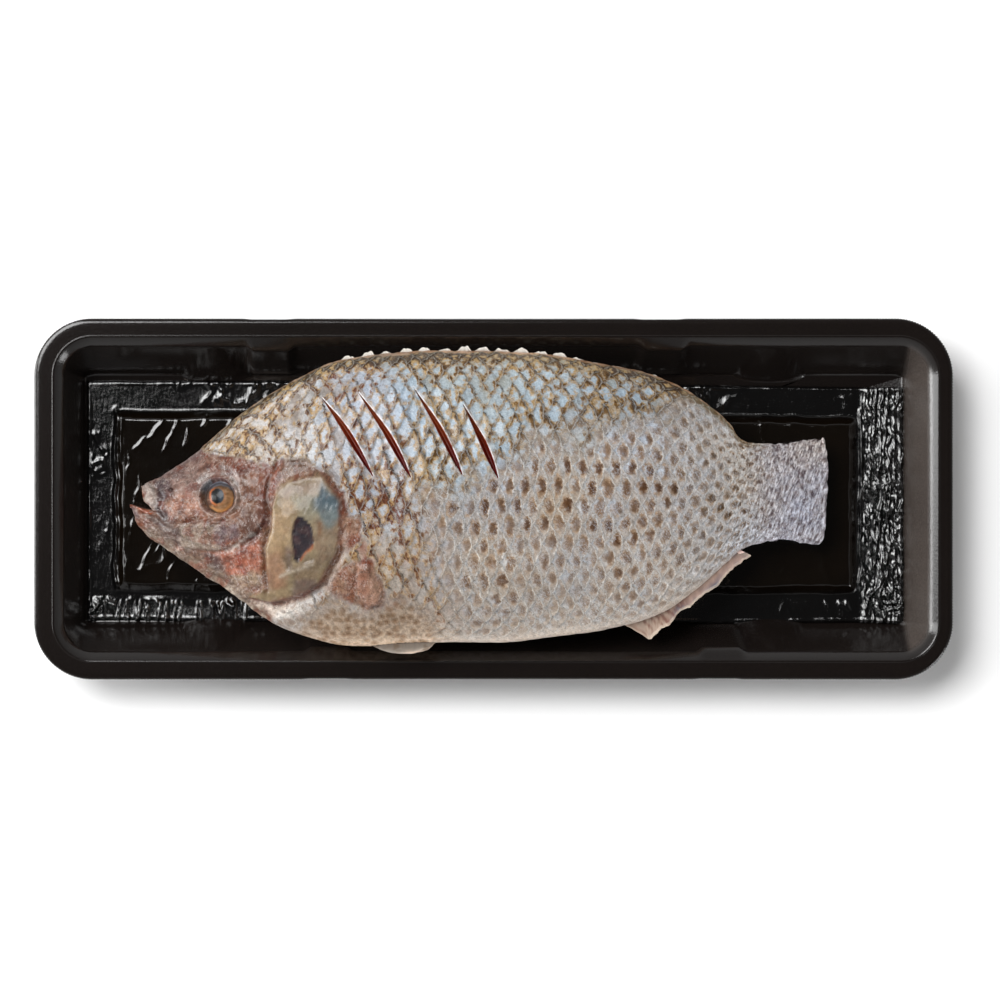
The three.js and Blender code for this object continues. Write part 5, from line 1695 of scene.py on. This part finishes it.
def wall_levels(inset, top):
    """Levels of the walls' straight part, from under the bend down to the floor."""
    found = []
    for share in (0.25, 0.5, 0.72, 0.88, 0.97):
        z = top + (FOAM - top) * share
        half_length = (TRAY_HALF_LENGTH - inset) * (1 - share) + FLOOR_HALF_LENGTH * share
        half_width = (TRAY_HALF_WIDTH - inset) * (1 - share) + FLOOR_HALF_WIDTH * share
        found.append(tray_ring(half_length, half_width, z, (z - FOAM) / (TRAY_HEIGHT - FOAM)))
    return found


def blended(levels, per_level):
    """More rings that follow the given ones without overshooting them: a uniform cubic B-spline."""
    levels = np.array([levels[0], *levels, levels[-1]])
    rings = []
    for some in zip(levels, levels[1:], levels[2:], levels[3:]):
        for w in np.arange(per_level) / per_level:
            start, end = 3 * w ** 3 - 6 * w ** 2 + 4, -3 * w ** 3 + 3 * w ** 2 + 3 * w + 1
            weights = ((1 - w) ** 3, start, end, w ** 3)
            rings.append(sum(a * b for a, b in zip(weights, some)) / 6)
    return np.array(rings + [levels[-1]])


def floor_ring(beyond, z, rise, more_width=0.0):
    """A level that keeps a distance from the floor's outline, and more on the long sides."""
    return tray_ring(FLOOR_HALF_LENGTH + beyond, FLOOR_HALF_WIDTH + beyond + more_width, z, rise)


def make_tray():
    """The foam tray as closed rings: up its outside, over the rim, and down inside to the floor."""
    lip = TRAY_HEIGHT - TRAY_LIP_DROP
    bend = bend_levels()
    levels = [
        floor_ring(-1, 0, 0), floor_ring(0.8, 0, 0), floor_ring(2.4, 2, 0.08),
        floor_ring(7.4, 11.5, 0.5, 1.6),
        level(UNDERSIDE_INSET, TRAY_HEIGHT - 4), level(1.2, lip - FOAM), level(0.2, lip - FOAM),
        *[level(0, lip + up, TOOTH_DEPTH) for up in (-2.2, -1.5, -0.6, 0.3)],
        level(0.2, lip + 0.9, TOOTH_DEPTH * 0.5), level(0.8, lip + 1.1),
        *[level(inset, TRAY_HEIGHT - drop) for inset, drop in FLANGE],
        *[level(inset, z) for inset, z in bend],
        *wall_levels(*bend[-1]),
        floor_ring(-1, FOAM, 0),
    ]
    rings = blended(levels, 2)
    rings[0, :, 2] = 0
    from_edge = TRAY_HALF_LENGTH - np.abs(rings[..., 0]).max(1)
    shift = CREST_SHIFT[0] + (CREST_SHIFT[1] - CREST_SHIFT[0]) * smooth(rings[..., 0] / 240 + 0.5)
    rings[..., 0] += shift * (smooth((from_edge - 3) / 4) * smooth((16 - from_edge) / 5))[:, None]
    points = np.concatenate([rings.reshape(-1, 3), [[0, 0, 0], [0, 0, FOAM]]])
    # Painted light: the end wall past the tail, struck by the low light from the left, gets a lighter colour
    end = smooth((points[:, 0] - FLOOR_HALF_LENGTH + 1) / 3)
    lit_end_wall = end * smooth((TRAY_HEIGHT - 1 - points[:, 2]) / 3)
    return make_object("foam_tray", points, tube_faces(*rings.shape[:2]), foam_material(), {"lit_end_wall": lit_end_wall})


def foam_material():
    """Black foam with a fine pebbled skin; the end wall past the tail gets painted light, a lighter grainy
    colour, and is rougher there.
    """
    looks = Looks("tray_foam", IOR=1.5, Specular_IOR_Level=0.45, Sheen_Weight=0.15, Sheen_Roughness=0.3)
    looks.shader.inputs["Sheen Tint"].default_value = (1.0, 0.86, 0.78, 1)
    pebbles = looks.cells(0.8)
    grain = looks.noise(0.9, 4, roughness=0.6)
    lit_end_wall = looks.attribute("lit_end_wall")
    colour = looks.mix((0.0042, 0.0030, 0.0026), (0.0085, 0.0062, 0.0054), looks.noise(1.0, 4))
    # Painted light on the end wall past the tail
    colour = looks.mix(colour, (0.046, 0.037, 0.032), lit_end_wall)
    colour = looks.shade(colour, 0.85 + looks.noise(25, 3) * 0.3)
    colour = looks.shade(colour, 1 + (looks.noise(0.5, 2) - 0.5) * lit_end_wall * 2.4)
    return looks.finish(colour, 0.11 + grain * 0.08 + lit_end_wall * 0.16, pebbles * 0.5 + grain, 0.03)


# ---------------------------------------------------------------- light and floor

def area_light(name, place, size, power):
    """A rectangular light at a place in metres that looks at the middle of the tray."""
    data = bpy.data.lights.new(name, "AREA")
    data.shape = "RECTANGLE"
    data.size, data.size_y = size
    data.energy = power
    light = bpy.data.objects.new(name, data)
    light.location = place
    light.rotation_euler = (-Vector(place)).to_track_quat("-Z", "Y").to_euler()
    bpy.context.scene.collection.objects.link(light)


def make_world():
    """A studio that is dark overhead, so that flat gloss stays black, and brighter to the left."""
    world = bpy.data.worlds.new("studio")
    sky = Looks(world, "Background", Color=(1, 1, 1, 1))
    across, _, up = sky.parts(sky.add("ShaderNodeTexCoord").outputs["Generated"])
    brightness = up.step(*SKY_HEIGHTS, *SKY_LEVELS) * across.step(*SKY_WIDTHS, *SKY_SIDES)
    sky.feed(sky.shader.inputs["Strength"], brightness)
    bpy.context.scene.world = world


def make_floor():
    """A plain pale floor."""
    corners = ((-1, -1), (1, -1), (1, 1), (-1, 1))
    points = [(x * FLOOR_HALF, y * FLOOR_HALF, 0) for x, y in corners]
    looks = Looks("floor", Roughness=0.9)
    colour = looks.mix((0.86, 0.86, 0.86), (0.84, 0.84, 0.84), looks.noise(200, 2))
    make_object("floor", points, [(0, 1, 2, 3)], looks.finish(colour), closed=False)


make_world()
make_floor()
for light in LIGHTS:
    area_light(*light)

# ---------------------------------------------------------------- the dressed object

tray = make_tray()
pad = make_pad()
fish = make_fish()
fins = [
    make_dorsal_stubs(), make_anal_fin(), make_pelvic_fin("pelvic_fin_left", 1),
    make_pelvic_fin("pelvic_fin_right", -1),
]
glassy = eye_material()
eyes = {"eye_left": make_eye("eye_left_ball", 1, glassy), "eye_right": make_eye("eye_right_ball", -1, glassy)}

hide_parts("tray")
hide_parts("absorbent_pad")
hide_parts("tilapia")
for node, eye in eyes.items():
    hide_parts(node)
for piece in [tray, pad, fish, *fins, *eyes.values()]:
    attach(piece, "root")

bpy.context.view_layer.update()
